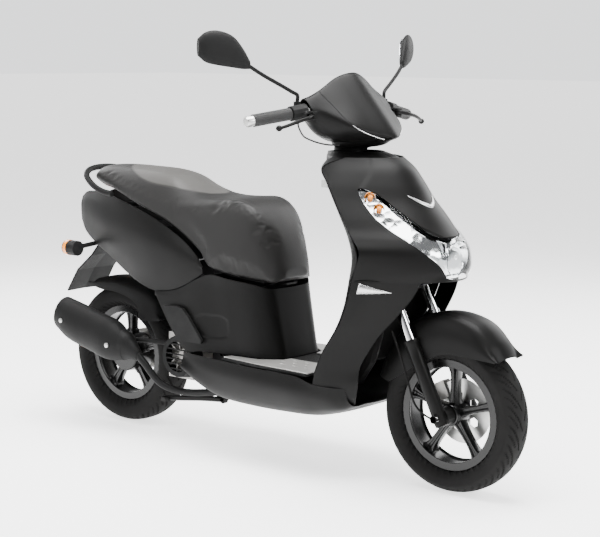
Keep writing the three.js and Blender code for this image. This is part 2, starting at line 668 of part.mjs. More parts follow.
// Plate holder with the two indicator stalks and lamp bodies.
const holderRows = [[-706, 612, 60], [-740, 560, 74], [-800, 505, 84], [-850, 428, 86]];
const holder = panel(holderRows.map(([x, z, half]) => [-1, -0.5, 0, 0.5,
  1].map((share) => V(x + Math.abs(share) * 10, share * half, z))), 5);
const holderArm = loft([[-640, 640, 30], [-700, 618, 40],
  [-716, 606, 44]].map(([x, z, half]) => [V(x, -half, z - 8), V(x, half, z - 8),
  V(x, half, z + 8), V(x, -half, z + 8)]));
const indicatorAt = V(-742, 148, 592);
const stalk = joined(
  rod(V(-704, 34, 610), V(indicatorAt.x + 6, indicatorAt.y, indicatorAt.z), 8, 12),
  rod(V(indicatorAt.x - 30, indicatorAt.y, indicatorAt.z),
    V(indicatorAt.x + 24, indicatorAt.y, indicatorAt.z), 26, 12),
);
add(scooter, 'plate_holder', joined(holder, holderArm, bothSides(stalk)), matteBlack);

// Grab rail round the back of the seat.
const railPoints = [[-575, 124, 784], [-620, 125, 790], [-668, 121, 806], [-716, 106, 832],
  [-740, 76, 850], [-750, 30, 858]];
const grabPath = [...railPoints.map(([x, y, z]) => V(x, -y, z)),
  ...clone(railPoints).reverse().map(([x, y, z]) => V(x, y, z))];
add(scooter, 'grab_rail', bent(grabPath, 10, 6, 14), matteBlack);

// ---------- seat ----------
const seat = new THREE.Group();
scooter.add(seat);
// Stations of the cushion: x, top, crease half width and height, bottom half width and height.
const seatRows = [
  [-728, 858, 58, 842, 62, 822], [-700, 868, 74, 846, 80, 812], [-600, 873, 96, 830, 103, 790],
    [-500, 872, 112, 815, 128, 764],
  [-400, 869, 124, 797, 144, 738], [-340, 858, 129, 785, 150, 722], [-280, 828, 131, 778, 154, 700],
    [-220, 806, 132, 777, 157, 668],
  [-160, 797, 128, 780, 157, 626], [-118, 796, 124, 783, 156, 580], [-40, 796, 116, 786, 148, 563],
    [20, 776, 104, 764, 134, 556],
  [66, 732, 90, 716, 114, 550], [104, 662, 70, 644, 92, 548], [126, 596, 44, 588, 56, 562],
];
const seatRing = ([x, top, creaseY, creaseZ, lowY, lowZ], inset, low) => {
  const side = [[0, top - inset], [creaseY * 0.55, top - inset - (top - creaseZ) * 0.25],
    [creaseY - inset, creaseZ - inset],
    [(creaseY + lowY) / 2 + 7 - inset, (creaseZ + lowZ) / 2], [lowY - inset, lowZ + 10],
      [lowY - inset - 6, low ?? lowZ]];
  return [...side.map(([y, z]) => V(x, -y, z)), ...side.slice(1).reverse().map(([y, z]) => V(x, y, z))];
};
const foamDepth = 84;
const foamSide = 22;
const hollowRing = ([x, top, creaseY, , lowY, lowZ], shrink) => {
  const roof = Math.max(lowZ + 4, top - foamDepth) - shrink;
  const wide = Math.min(creaseY + 4, lowY - foamSide) - shrink;
  const low = lowZ - 40;
  const side = [[0, roof], [wide * 0.8, roof - 2], [wide, (roof + low) / 2], [wide, low]];
  return [...side.map(([y, z]) => V(x, -y, z)), ...side.slice(1).reverse().map(([y, z]) => V(x, y, z))];
};
const hollowRows = seatRows.slice(1, -2);
const cushion = cut(loft(seatRows.map((row) => seatRing(row, 0))),
  loft(hollowRows.map((row) => hollowRing(row, 0))));
add(seat, 'seat_cushion', cushion, cover);
const baseTrim = loft(seatRows.map((row) => seatRing(row,
  0).map((p) => (p.z < row[5] + 0.001 ? p.clone().setZ(row[5] - 2) : p))));
const seatBase = cut(
  loft(hollowRows.map((row) => hollowRing(row, GAP))),
  loft(hollowRows.slice(1, -1).map((row) => hollowRing(row, WALL + 1))),
).intersect(baseTrim);
const hingeTongue = joined(box(28, 62, -25, 25, seatHingeZ + 3, 560),
  box(28, seatHingeX + 4, -25, 25, seatHingeZ + 3, seatHingeZ + 9));
add(seat, 'seat_base', joined(seatBase, cut(hingeTongue, cushion)), matteBlack);

// ---------- handlebar ----------
// Points on the left; the right side is mirrored. The grip runs out along gripDir from gripIn.
const gripIn = V(308, 208, 1083);
const gripDir = V(-53, 178, -26).normalize();
const onGrip = (s) => gripIn.clone().addScaledVector(gripDir, s);
const barTop = forkPoint(-stemBehind, 0, 922);
const gripFrom = 40;
const gripTo = 166;
const barPath = [barTop, V(284, 56, barTop.z + 4), V(298, 130, 1070), onGrip(-20), onGrip(10), onGrip(40),
  onGrip(100), onGrip(gripTo + 4)];
const barHalf = bent(barPath, barR, 8, 12);
const barRoom = bent(barPath, barR + RUN, 8, 12);
const barEnd = joined(rod(onGrip(gripTo + GAP), onGrip(gripTo + 18), 15, 10),
  rod(onGrip(gripTo + 18), onGrip(gripTo + 24), 15, 16, 9));
const leftGrip = rod(onGrip(gripFrom), onGrip(gripTo + GAP), gripR, 10);
const riser = rod(forkPoint(-stemBehind, 0, clampLow + GAP), barTop, 15, 10);
const barSolid = joined(bothSides(joined(barHalf, barEnd)), leftGrip, riser);
add(scooter, 'handlebar', barSolid, steel);
const throttle = cut(
  joined(rod(onGrip(gripFrom + GAP), onGrip(gripTo), gripR, 10),
    rod(onGrip(gripFrom + GAP), onGrip(gripFrom + 5), gripR + 4, 10)),
  rod(onGrip(gripFrom - 1), onGrip(gripTo + 1), barR + 2 * RUN, 12),
);
add(scooter, 'throttle_grip', mirrored(throttle), rubber);

// Switch pods carry the lever perches and the mirror bosses.
const leverPin = V(346, 203, 1072);
const mirrorPin = V(291, 207, 1112);
const pod = cut(
  joined(rod(onGrip(-12), onGrip(gripFrom - 2), podR, 12), rod(onGrip(8), V(336, 204, 1073), 12, 12),
    box(326, leverPin.x + 9, 193, 213, 1059, 1085), rod(V(mirrorPin.x, mirrorPin.y, 1088),
      V(mirrorPin.x, mirrorPin.y, mirrorPin.z - GAP), 11, 12)),
  barRoom,
  box(leverPin.x - 11, leverPin.x + 20, 180, 230, 1065, 1079),
);
const leverPivot = rod(V(leverPin.x, leverPin.y, 1060), V(leverPin.x, leverPin.y, 1084), 2.5, 10);
// The way a switch faces on a pod: towards the rider and a little up.
const switchAt = onGrip(24);
const switchOut = V(-0.88, -0.26, 0.4).normalize();
const switchPoint = (r) => switchAt.clone().addScaledVector(switchOut, r);
const buttonR = 5;
const buttonHole = rod(switchPoint(15), switchPoint(30), buttonR + RUN, 12);
const podSolid = joined(pod, leverPivot);
add(scooter, 'switch_pod_right', mirrored(cut(podSolid, buttonHole)), matteBlack);
const hornAt = onGrip(6);
const hornOut = V(-0.93, -0.27, -0.25).normalize();
const hornPoint = (r) => hornAt.clone().addScaledVector(hornOut, r);
const slideAt = onGrip(24);
const slideHole = joined(...[-4, 0, 4].map((s) => rod(slideAt.clone().addScaledVector(gripDir,
  s).addScaledVector(switchOut, 15),
  slideAt.clone().addScaledVector(gripDir, s).addScaledVector(switchOut, 24), 4, 8)));
add(scooter, 'switch_pod_left', cut(podSolid, slideHole, rod(hornPoint(15), hornPoint(30), 4.5, 12)),
  matteBlack);
add(scooter, 'starter_button', mirrored(rod(switchPoint(18), switchPoint(26), buttonR, 12)), steel);
add(scooter, 'horn_button', rod(hornPoint(18), hornPoint(26), 4, 12), steel);
add(scooter, 'indicator_switch', rod(slideAt.clone().addScaledVector(switchOut, 17),
  slideAt.clone().addScaledVector(switchOut, 28), 3, 8), steel);

const ball = (at, radius) => {
  const geometry = new THREE.SphereGeometry(radius, 8, 6);
  geometry.translate(at.x, at.y, at.z);
  return solidOf(geometry);
};
const leverEnd = V(338, 340, 1041);
const lever = cut(
  joined(rod(V(leverPin.x, leverPin.y, 1065.6), V(leverPin.x, leverPin.y, 1078.4), 9, 10),
    bent([V(leverPin.x + 2, leverPin.y + 2, 1072), V(361, 240, 1067), V(357, 292, 1056), leverEnd],
      5.5, 6, 6), ball(leverEnd, 9)),
  rod(V(leverPin.x, leverPin.y, 1060), V(leverPin.x, leverPin.y, 1085), 3, 12),
);
add(scooter, 'brake_lever_left', lever, matteBlack);
add(scooter, 'brake_lever_right', mirrored(lever), matteBlack);

// Mirrors: a stem that turns in the boss, an arm and the housing.
const mirrorJoint = V(243, 364, 1212);
const mirrorOut = V(-0.45, 0.89, 0).normalize();
const mirrorAcross = V(0.89, 0.45, 0).normalize();
const headRing = (along, high, deep, lift) => Array.from({ length: 12 }, (_, i) => {
  const angle = 2 * Math.PI * i / 12;
  return mirrorJoint.clone().addScaledVector(mirrorOut, along).addScaledVector(mirrorAcross,
    Math.cos(angle) * deep)
    .add(V(0, 0, lift + Math.sin(angle) * high));
});
const mirrorHead = loft([headRing(-4, 12, 7, 4), headRing(18, 30, 13, 22), headRing(48, 44, 17, 40),
  headRing(90, 48, 18, 50),
  headRing(126, 42, 16, 52), headRing(150, 24, 10, 52)]);
const mirrorSolid = joined(
  rod(mirrorPin, V(mirrorPin.x, mirrorPin.y, 1142), 9, 12),
  bent([V(mirrorPin.x, mirrorPin.y, 1130), V(276, 256, 1156), V(258, 318, 1187), mirrorJoint], 5.5, 6, 5),
  mirrorHead,
);
add(scooter, 'mirror_left', mirrorSolid, matteBlack);
add(scooter, 'mirror_right', mirrored(mirrorSolid), matteBlack);

// Handlebar cowl: sections in XZ from the middle outwards, hollow, and split along its side seam.
const cowlEnd = 186;             // open end of the cowl, beside the grip
const cowlSections = [
  [0, [[283, 1152], [318, 1186], [342, 1184], [410, 1110], [484, 1022], [479, 1006], [430, 994],
    [350, 990], [292, 992], [256, 1014], [234, 1062], [250, 1110]]],
  [60, [[281, 1150], [312, 1174], [328, 1172], [392, 1104], [456, 1030], [452, 1012], [410, 998],
    [340, 991], [288, 996], [255, 1020], [232, 1064], [250, 1110]]],
  [112, [[292, 1138], [306, 1146], [318, 1146], [368, 1098], [420, 1048], [416, 1030], [380, 1014],
    [330, 1008], [290, 1014], [264, 1032], [246, 1068], [262, 1112]]],
  [158, [[296, 1124], [304, 1126], [314, 1124], [336, 1100], [352, 1078], [348, 1062], [332, 1050],
    [312, 1046], [292, 1050], [276, 1060], [268, 1082], [280, 1110]]],
  [cowlEnd, [[292, 1116], [300, 1116], [308, 1112], [322, 1098], [330, 1086], [328, 1074], [320, 1066],
    [306, 1063], [292, 1065], [284, 1073], [280, 1090], [284, 1106]]],
];
const cowlRings = (inset, reach) => {
  const half = cowlSections.map(([y, points]) => {
    const middle = points.reduce(([sx, sz], [x, z]) => [sx + x / points.length, sz + z / points.length],
      [0, 0]);
    return [y, points.map(([x, z]) => {
      const away = new THREE.Vector2(x - middle[0], z - middle[1]);
      const size = away.length();
      away.multiplyScalar((size - inset) / size);
      return [middle[0] + away.x, middle[1] + away.y];
    })];
  });
  const place = ([y, points], sign) => points.map(([x, z]) => V(x,
    sign * (y + (y === cowlEnd ? reach : 0)), z));
  return [...clone(half).reverse().map((row) => place(row, -1)),
    ...half.slice(1).map((row) => place(row, 1))];
};
const seamLine = [[302, 1150], [456, 1016]];
const cowlShell = cut(loft(cowlRings(0, 0)), loft(cowlRings(WALL, 2)),
  rod(forkPoint(-stemBehind, 0, 840), barTop, 22, 12));
const seamSide = (offset, far) => plateXZ([[seamLine[0][0] - 300, seamLine[0][1] + 261 + offset],
  [seamLine[1][0] + 100, seamLine[1][1] - 87 + offset],
  [seamLine[1][0] + 100 + far, seamLine[1][1] + far],
    [seamLine[0][0] - 300 + far, seamLine[0][1] + 261 + far]], -200, 200);
add(scooter, 'bar_cowl_front', cowlShell.intersect(seamSide(GAP, 300)), satinBlack);
add(scooter, 'bar_cowl_rear', cut(cowlShell, seamSide(0, 300)), satinBlack);

// Front brake cable, from the right perch past its inline switch to the cowl.
const cableRoute = [V(303, -216, 1057), V(299, -210, 1040), V(303, -194, 1014), V(312, -178, 1003),
  V(327, -150, 992),
  V(343, -120, 986), V(356, -92, 986)];
add(scooter, 'brake_cable_right', bent(cableRoute, 2.5, 6, 12), rubber);

// Ignition key, in its lock on the inner shield.
const keyAt = V(326, -84, 868);
const key = joined(rod(keyAt.clone().add(V(-6, 0, 0)), keyAt.clone().add(V(-20, 0, 0)), 4, 10),
  box(keyAt.x - 42, keyAt.x - 18, keyAt.y - 1.5, keyAt.y + 1.5, keyAt.z - 11, keyAt.z + 11));
add(scooter, 'ignition_key', key, steel);

// ---------- engine ----------
const caseOutline = [[-186, 240], [-184, 300], [-215, 350], [-280, 366], [-400, 350], [-560, 314],
  [-650, 298], [-682, 255],
  [-680, 205], [-640, 172], [-560, 170], [-400, 188], [-280, 196], [-215, 202]];
const armY = [68, 112];
const crankHalfRight = -92;
const fins = Array.from({ length: 7 }, (_, i) => box(-186 + i * 13, -182 + i * 13, -46, 46, 238, 330));
const lowerEye = V(-600, shockY, 330);
const crankcase = joined(
  plateXZ(caseOutline, ...armY),
  box(-345, -192, crankHalfRight, armY[0] + 1, 200, 348),
  rod(V(-200, 0, 284), V(-98, 0, 284), 38, 10),
  ...fins,
  cut(joined(rod(V(pivotX, -62, pivotZ), V(pivotX, 62, pivotZ), 17, 10),
    box(-200, pivotX, -30, 30, pivotZ - 14, pivotZ + 14)),
    rod(V(pivotX, -64, pivotZ), V(pivotX, 64, pivotZ), 8 + RUN, 12)),
  rod(V(rearAxleX, rearHubHalf + 1, rearAxleZ), V(rearAxleX, armY[0] + 1, rearAxleZ), 40, 12),
  rod(V(rearAxleX, -rearHubHalf - 14, rearAxleZ), V(rearAxleX, armY[0], rearAxleZ), axleR, 12),
  rod(V(rearAxleX, -rearHubHalf - 14, rearAxleZ), V(rearAxleX, -rearHubHalf - 1, rearAxleZ), 14, 6),
  box(-616, -584, shockY - 23, shockY - 10, 296, 344),
  rod(V(lowerEye.x, shockY - 22, lowerEye.z), V(lowerEye.x, shockY + 14, lowerEye.z), 6, 12),
  bothSides(plateXZ([[-240, 205], [-200, 205], [-108, 166], [-108, 150], [-124, 142], [-240, 190]], 60, 66)),
);
const standPivot = V(-118, 0, 152);
const standRod = rod(V(standPivot.x, -66, standPivot.z), V(standPivot.x, 66, standPivot.z), 5, 12);
add(scooter, 'crankcase', joined(crankcase, standRod), castAluminium);
const beltOutline = caseOutline.map(([x, z]) => [x + (x > -400 ? -5 : 5), z + (z > 250 ? -5 : 5)]);
const beltCover = plateXZ(beltOutline, armY[1] + GAP, 144);
add(scooter, 'belt_cover', beltCover, glossBlack);

const fanY = [crankHalfRight - GAP, -138];
const fanMouthR = 50;
const fanBars = Array.from({ length: 6 }, (_, i) => box(crankX - fanMouthR - 2, crankX + fanMouthR + 2,
  fanY[1] + 1, fanY[1] + 5,
  crankZ - 42 + i * 16, crankZ - 38 + i * 16));
const fanShell = cut(
  joined(rod(V(crankX, fanY[0], crankZ), V(crankX, fanY[1], crankZ), 74, 16, 66),
    box(crankX - 20, crankX + 64, fanY[1] + 12, fanY[0], crankZ - 50, crankZ + 40)),
  rod(V(crankX, fanY[0] + 1, crankZ), V(crankX, fanY[1] + WALL, crankZ), 60, 16),
  rod(V(crankX, 0, crankZ), V(crankX, fanY[1] - 1, crankZ), fanMouthR, 16),
);
add(scooter, 'fan_cover', joined(fanShell, ...fanBars), matteBlack);
const fanBlades = Array.from({ length: 9 }, (_, i) => {
  const angle = 2 * Math.PI * i / 9;
  const at = (r, turn) => [Math.cos(angle + turn) * r, Math.sin(angle + turn) * r];
  return plateXZ([at(24, 0), at(54, 0.25), at(54, 0.33),
    at(24, 0.12)].map(([x, z]) => [crankX + x, crankZ + z]), -126, -103);
});
add(scooter, 'cooling_fan', joined(rod(V(crankX, -98, crankZ), V(crankX, -104, crankZ), 56, 14),
  rod(V(crankX, crankHalfRight - GAP * 2, crankZ),
  V(crankX, -112, crankZ), 16, 10), ...fanBlades), castAluminium);

const kickPivot = V(-306, 150, 214);
const kick = joined(
  rod(V(kickPivot.x, 144 + GAP, kickPivot.z), V(kickPivot.x, 164, kickPivot.z), 11, 10),
  bent([V(kickPivot.x, 156, kickPivot.z), V(-360, 158, 232), V(-430, 158, 258), V(-466, 160, 268)], 7, 8, 8),
  rod(V(-462, 156, 267), V(-470, 192, 270), 8, 12),
);
add(scooter, 'kickstart_lever', kick, steel);

// Muffler and pipe, welded together.
const mufflerLine = [V(-748, -176, 362), V(-735, -176, 359), V(-600, -174, 327), V(-478, -172, 298),
  V(-436, -170, 284), V(-408, -166, 268)];
const mufflerScale = [0.8, 1, 1, 0.96, 0.6, 0.32];
const mufflerRing = (at, size, wide = 0.84) => Array.from({ length: 12 }, (_, i) => {
  const angle = 2 * Math.PI * i / 12;
  return at.clone().add(V(Math.sin(angle) * size * 0.22, Math.cos(angle) * size * wide,
    Math.sin(angle) * size));
});
const pipe = bent([V(-414, -167, 272), V(-388, -160, 244), V(-340, -140, 186), V(-280, -112, 162),
  V(-190, -102, 168), V(-104, -88, 188),
  V(-80, -48, 212), V(-98, -12, 226), V(-112, 0, 238)], 12, 6, 12);
const bracket = bent([V(-520, -140, 306), V(-440, -126, 312), V(-360, -100, 310), V(-343, -84, 310)],
  8, 8, 8);
const mufflerWall = 3;
const mufflerInside = loft(mufflerLine.slice(0, 5).map((at,
  i) => mufflerRing(i === 0 ? at.clone().lerp(mufflerLine[1], 0.4) : at,
  mufflerR * mufflerScale[i] - mufflerWall)));
const tailPipe = rod(V(-770, -176, 367), V(-700, -176, 350), 13, 12);
const mufflerOutside = joined(loft(mufflerLine.map((at, i) => mufflerRing(at,
  mufflerR * mufflerScale[i]))), pipe, bracket);
const muffler = cut(
  mufflerOutside,
  mufflerInside,
  tailPipe,
  box(-346, -90, crankHalfRight - GAP, 70, 200 - GAP, 360),
    rod(V(-202, 0, 284), V(-90, 0, 284), 38 + GAP, 10),
  ...fins.map((fin) => fin.translate([0, 0, -GAP])),
);
add(scooter, 'muffler', muffler, matteBlack);
const shieldLine = [[-762, 372, 0.94], [-700, 349, 1.1], [-600, 325, 1.12], [-520, 306, 1.1],
  [-452, 288, 0.66]];
const guard = panel(shieldLine.map(([x, z, size]) => [-118, -85, -45, 0, 45, 85, 118].map((degrees) => {
  const angle = THREE.MathUtils.degToRad(degrees);
  const r = (mufflerR + 7) * size;
  return V(x + Math.sin(angle) * r * 0.22, -174 - Math.cos(angle) * r * 0.84, z + Math.sin(angle) * r);
})), -2);
add(scooter, 'muffler_shield', cut(guard, mufflerOutside), matteBlack);

// Hugger over the rear tyre and the air box on the left.
const huggerArc = [[34, 262, 246], [48, 268, 176], [58, 270, 204], [72, 262, 210], [90, 258, 214],
  [106, 264, 224], [120, 276, 262]];
const hugger = new THREE.Group();
hugger.position.set(rearAxleX, 0, rearAxleZ);
scooter.add(hugger);
add(hugger, 'rear_hugger', archPanel(huggerArc, 78, 66, -WALL), matteBlack);
add(scooter, 'air_box', joined(box(-470, -330, 94, 146, 372, 432),
  rod(V(-346, 110, 366), V(-346, 110, 374), 14, 12)), matteBlack);

// ---------- rear shock ----------
const shockDown = V(lowerEye.x - shockTop.x, 0, lowerEye.z - shockTop.z);
const shockLength = shockDown.length();
const shockDir = shockDown.clone().normalize();
const alongShock = (s) => shockTop.clone().addScaledVector(shockDir, s);
const eye = (at) => rod(V(at.x, shockY - 9, at.z), V(at.x, shockY + 9, at.z), 15, 12);
const eyeBore = (at, bore) => rod(V(at.x, shockY - 20, at.z), V(at.x, shockY + 20, at.z), bore, 12);
const seatR = 25;
const damperEnd = 138;
const damper = cut(
  joined(eye(shockTop), rod(alongShock(12), alongShock(damperEnd), 13, 12),
    rod(alongShock(26), alongShock(32), seatR, 16)),
  rod(alongShock(60), alongShock(damperEnd + 1), 6.8, 10), eyeBore(shockTop, 6 + RUN),
);
add(scooter, 'shock_damper', damper, matteBlack);
const seatAt = shockLength - 42;
const shockRod = cut(
  joined(eye(lowerEye), rod(alongShock(damperEnd - 24), alongShock(shockLength - 10), 6, 10),
    rod(alongShock(seatAt), alongShock(seatAt + 6), seatR, 16)),
  eyeBore(lowerEye, 8),
);
add(scooter, 'shock_rod', shockRod, steel);
class Coil extends THREE.Curve {
  constructor(from, to, radius, turns) {
    super();
    Object.assign(this, { from, to, radius, turns });
  }

  getPoint(t) {
    const across = V(shockDir.z, 0, -shockDir.x);
    const angle = 2 * Math.PI * this.turns * t;
    return alongShock(this.from + (this.to - this.from) * t).addScaledVector(across,
      Math.cos(angle) * this.radius)
      .add(V(0, Math.sin(angle) * this.radius, 0));
  }
}
const wireR = 3.5;
const wire = new THREE.Shape();
wire.absarc(0, 0, wireR, 0, 2 * Math.PI);
const spring = solidOf(new THREE.ExtrudeGeometry(wire, {
  steps: 48, curveSegments: 2, bevelEnabled: false, extrudePath: new Coil(32 + wireR + GAP,
    seatAt - wireR - GAP, 19, 6),
}));
add(scooter, 'shock_spring', spring, steel);

// ---------- stand and footpegs ----------
const standTurn = new THREE.Group();
standTurn.position.copy(standPivot);
scooter.add(standTurn);
const standLegs = bothSides(joined(
  rod(V(0, 67, 0), V(0, 80, 0), 13, 12),
  bent([V(0, 79, 0), V(-60, 86, -4), V(-150, 98, -14), V(-216, 106, -22)], 9, 6, 5),
  box(-226, -206, 92, 132, -30, -16),
));
const standBar = rod(V(-110, -94, -9), V(-110, 94, -9), 8, 12);
const standSolid = cut(joined(standLegs, standBar), rod(V(0, -90, 0), V(0, 90, 0), 5 + RUN, 10));
add(standTurn, 'centre_stand', standSolid, matteBlack);

const pegPlate = plateXZ([[-226, 344], [-122, 346], [-120, 356], [-176, 424], [-202, 448], [-228, 454],
  [-286, 450]], -177, -166);
add(scooter, 'footpeg_right', pegPlate, matteBlack);
add(scooter, 'footpeg_left', mirrored(pegPlate), matteBlack);

export default scooter;
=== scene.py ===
import math

import bmesh
import bpy
import numpy as np
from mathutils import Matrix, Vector


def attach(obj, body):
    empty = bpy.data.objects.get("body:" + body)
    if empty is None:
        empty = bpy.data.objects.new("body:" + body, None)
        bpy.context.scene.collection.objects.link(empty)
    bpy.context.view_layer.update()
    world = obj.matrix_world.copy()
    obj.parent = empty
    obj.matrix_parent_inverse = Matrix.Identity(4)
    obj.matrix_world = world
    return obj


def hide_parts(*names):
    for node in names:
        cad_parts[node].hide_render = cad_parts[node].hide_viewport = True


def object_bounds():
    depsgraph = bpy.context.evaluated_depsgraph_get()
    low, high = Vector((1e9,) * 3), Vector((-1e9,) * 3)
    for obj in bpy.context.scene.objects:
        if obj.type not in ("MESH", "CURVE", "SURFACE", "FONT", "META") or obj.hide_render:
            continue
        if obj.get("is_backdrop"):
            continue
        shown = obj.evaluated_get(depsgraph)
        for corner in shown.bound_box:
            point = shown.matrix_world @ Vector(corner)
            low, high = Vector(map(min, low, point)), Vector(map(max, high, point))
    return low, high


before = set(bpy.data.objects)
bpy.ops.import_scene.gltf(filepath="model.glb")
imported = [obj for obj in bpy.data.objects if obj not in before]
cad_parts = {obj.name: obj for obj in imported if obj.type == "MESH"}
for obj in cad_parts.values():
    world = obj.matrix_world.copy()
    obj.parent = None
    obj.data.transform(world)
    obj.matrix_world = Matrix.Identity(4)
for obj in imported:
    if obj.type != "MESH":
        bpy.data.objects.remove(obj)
cad_box = [list(corner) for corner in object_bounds()]

# ---------- studio ----------
# The scooter stands on a wide pale floor, lit by large soft panels overhead and to both sides. The air
# is as bright as the floor at the horizon and dim above it. None of this belongs to the scooter.
floor_half = 60.0


def mesh_object(name, points, faces):
    """A mesh in the scene from points in metres and faces as lists of point numbers."""
    mesh = bpy.data.meshes.new(name)
    mesh.from_pydata([tuple(p) for p in points], [], faces)
    mesh.validate()
    made = bpy.data.objects.new(name, mesh)
    bpy.context.scene.collection.objects.link(made)
    return made


floor = mesh_object("studio_floor", [(x, y, 0) for x, y in ((-1, -1), (1, -1), (1, 1), (-1, 1))],
                    [[0, 1, 2, 3]])
for corner in floor.data.vertices:
    corner.co *= floor_half
floor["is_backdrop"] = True


def soft_panel(name, place, wide, power, towards=(0, 0, 0.6)):
    """A square area light that looks at a point on the scooter."""
    light = bpy.data.lights.new(name, "AREA")
    light.size = wide
    light.energy = power
    lamp = bpy.data.objects.new(name, light)
    lamp.location = place
    lamp.rotation_euler = (Vector(towards) - Vector(place)).to_track_quat("-Z", "Y").to_euler()
    bpy.context.scene.collection.objects.link(lamp)
    lamp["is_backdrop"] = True


soft_panel("light_overhead", (0.2, -0.2, 3.4), 2.6, 420)
soft_panel("light_right", (-1.6, -3.4, 2.6), 1.4, 70)
soft_panel("light_front", (4.0, 0.2, 2.4), 1.2, 110)
soft_panel("light_left", (0.6, 3.4, 2.4), 2.4, 110)
soft_panel("light_behind", (-3.6, 0.6, 2.2), 2.0, 110)

world = bpy.data.worlds.new("studio_air")
world.use_nodes = True
world.node_tree.nodes["Background"].inputs["Color"].default_value = (0.93, 0.94, 0.95, 1)
sky = world.node_tree
direction = sky.nodes.new("ShaderNodeTexCoord")
upward = sky.nodes.new("ShaderNodeSeparateXYZ")
strength = sky.nodes.new("ShaderNodeMapRange")
for key, value in {"From Min": 0.1, "From Max": 0.35, "To Min": 1.9, "To Max": 0.2}.items():
    strength.inputs[key].default_value = value
sky.links.new(direction.outputs["Generated"], upward.inputs[0])
sky.links.new(upward.outputs["Z"], strength.inputs["Value"])
sky.links.new(strength.outputs["Result"], sky.nodes["Background"].inputs["Strength"])
bpy.context.scene.world = world

camera = bpy.data.objects.new("camera", bpy.data.cameras.new("camera"))
camera.data.lens = 92.24
camera.data.sensor_width = 36
camera.data.clip_end = 200
camera.location = (3.102, -3.602, 1.254)
camera_roll = math.radians(0.46)
looks = (Vector((0.086, 0, 0.591)) - camera.location).to_track_quat("-Z", "Y")
camera.rotation_euler = looks.to_euler()
camera.rotation_euler.rotate_axis("Z", camera_roll)
bpy.context.scene.collection.objects.link(camera)
bpy.context.scene.camera = camera


class Value:
    """A number on its way through the nodes, so that 1 - wear * 2 adds the Math nodes it needs."""

    def __init__(self, look, socket):
        self.look = look
        self.socket = socket

    def maths(self, operation, first, second):
        return self.look.node("ShaderNodeMath", {"operation": operation}, {0: first, 1: second})

    def __add__(self, other):
        return self.maths("ADD", self, other)

    def __sub__(self, other):
        return self.maths("SUBTRACT", self, other)

    def __rsub__(self, other):
        return self.maths("SUBTRACT", other, self)

    def __mul__(self, other):
        return self.maths("MULTIPLY", self, other)

    def __pow__(self, other):
        return self.maths("POWER", self, other)

    __radd__ = __add__
    __rmul__ = __mul__


class Look:
    """One finish: a shader and the nodes that vary it over a surface."""

    def __init__(self, name, colour, roughness, fixed=None):
        self.material = bpy.data.materials.new(name)
        self.material.use_nodes = True
        self.tree = self.material.node_tree
        self.shader = self.tree.nodes["Principled BSDF"]
        self.colour = (*colour, 1)
        self.put("Base Color", self.colour)
        self.put("Roughness", roughness)
        for key, value in (fixed or {}).items():
            self.put(key, value)

    def join(self, socket, value):
        if isinstance(value, Value):
            self.tree.links.new(value.socket, socket)
        else:
            socket.default_value = value

    def put(self, socket, value):
        self.join(self.shader.inputs[socket], value)

    def node(self, kind, settings=None, values=None, out=0):
        made = self.tree.nodes.new(kind)
        for key, value in (settings or {}).items():
            setattr(made, key, value)
        for key, value in (values or {}).items():
            self.join(made.inputs[key], value)
        return Value(self, made.outputs[out])

    def place(self):
        """Where a surface point is, in metres, before its body moves."""
        return self.node("ShaderNodeTexCoord", out=3)

    def axis(self, number):
        return self.node("ShaderNodeSeparateXYZ", values={0: self.place()}, out=number)

    def noise(self, scale, detail=3.0, stretch=(1, 1, 1)):
        where = self.node("ShaderNodeMapping", values={0: self.place(), 3: stretch})
        return self.node("ShaderNodeTexNoise", values={"Vector": where, "Scale": scale, "Detail": detail})

    def cells(self, scale, feature="F1"):
        return self.node("ShaderNodeTexVoronoi", {"feature": feature},
                         {"Vector": self.place(), "Scale": scale})

    def mix(self, share, first, second):
        return self.node("ShaderNodeMix", {"data_type": "RGBA"}, {0: share, 6: first, 7: second}, 2)

    def over(self, value, low, high):
        """0 where value is under low and 1 where it is over high."""
        return self.node("ShaderNodeMapRange", {"clamp": True},
                         {"Value": value, "From Min": low, "From Max": high})

    def bump(self, height, deep):
        self.put("Normal", self.node("ShaderNodeBump", values={"Distance": deep, "Height": height}))

    def worn(self, amount):
        """The share of a lighter colour along sharp edges, which hands and weather have rubbed in patches."""
        ridge = self.over(self.node("ShaderNodeNewGeometry", out=7), 0.53, 0.62)
        patchy = self.over(self.noise(24), 0.35, 0.75)
        return ridge * patchy * amount


def grey(level):
    return (level, level, level, 1)


def varied(name, low, high, patches, rough, scratches, fixed=None):
    """A finish whose colour drifts from low to high; roughness is rough[0] plus up to rough[1]."""
    look = Look(name, low[:3], rough[0], fixed)
    look.put("Base Color", look.mix(look.noise(*patches), low, high))
    look.put("Roughness", rough[0] + look.noise(*scratches) * rough[1])
    return look


paper = Look("studio_paper", (0.92, 0.92, 0.92), 0.8, {"Emission Color": grey(1.0), "Emission Strength": 1.7})
paper.put("Base Color", paper.mix(paper.noise(1.5), grey(0.91), grey(0.94)))
floor.data.materials.append(paper.material)

# ---------- body panels ----------
# Injection-moulded panels in a satin charcoal paint, held on with screws and clips. The apron carries
# the headlight, and the shields below it run down to the belly pan on both sides.
datum = -0.047                # the tables' x sizes are measured from here
wall = 0.003
both_sides = ((-1, "right"), (1, "left"))


def mm(x, y, z):
    return Vector((x / 1000 + datum, y / 1000, z / 1000))


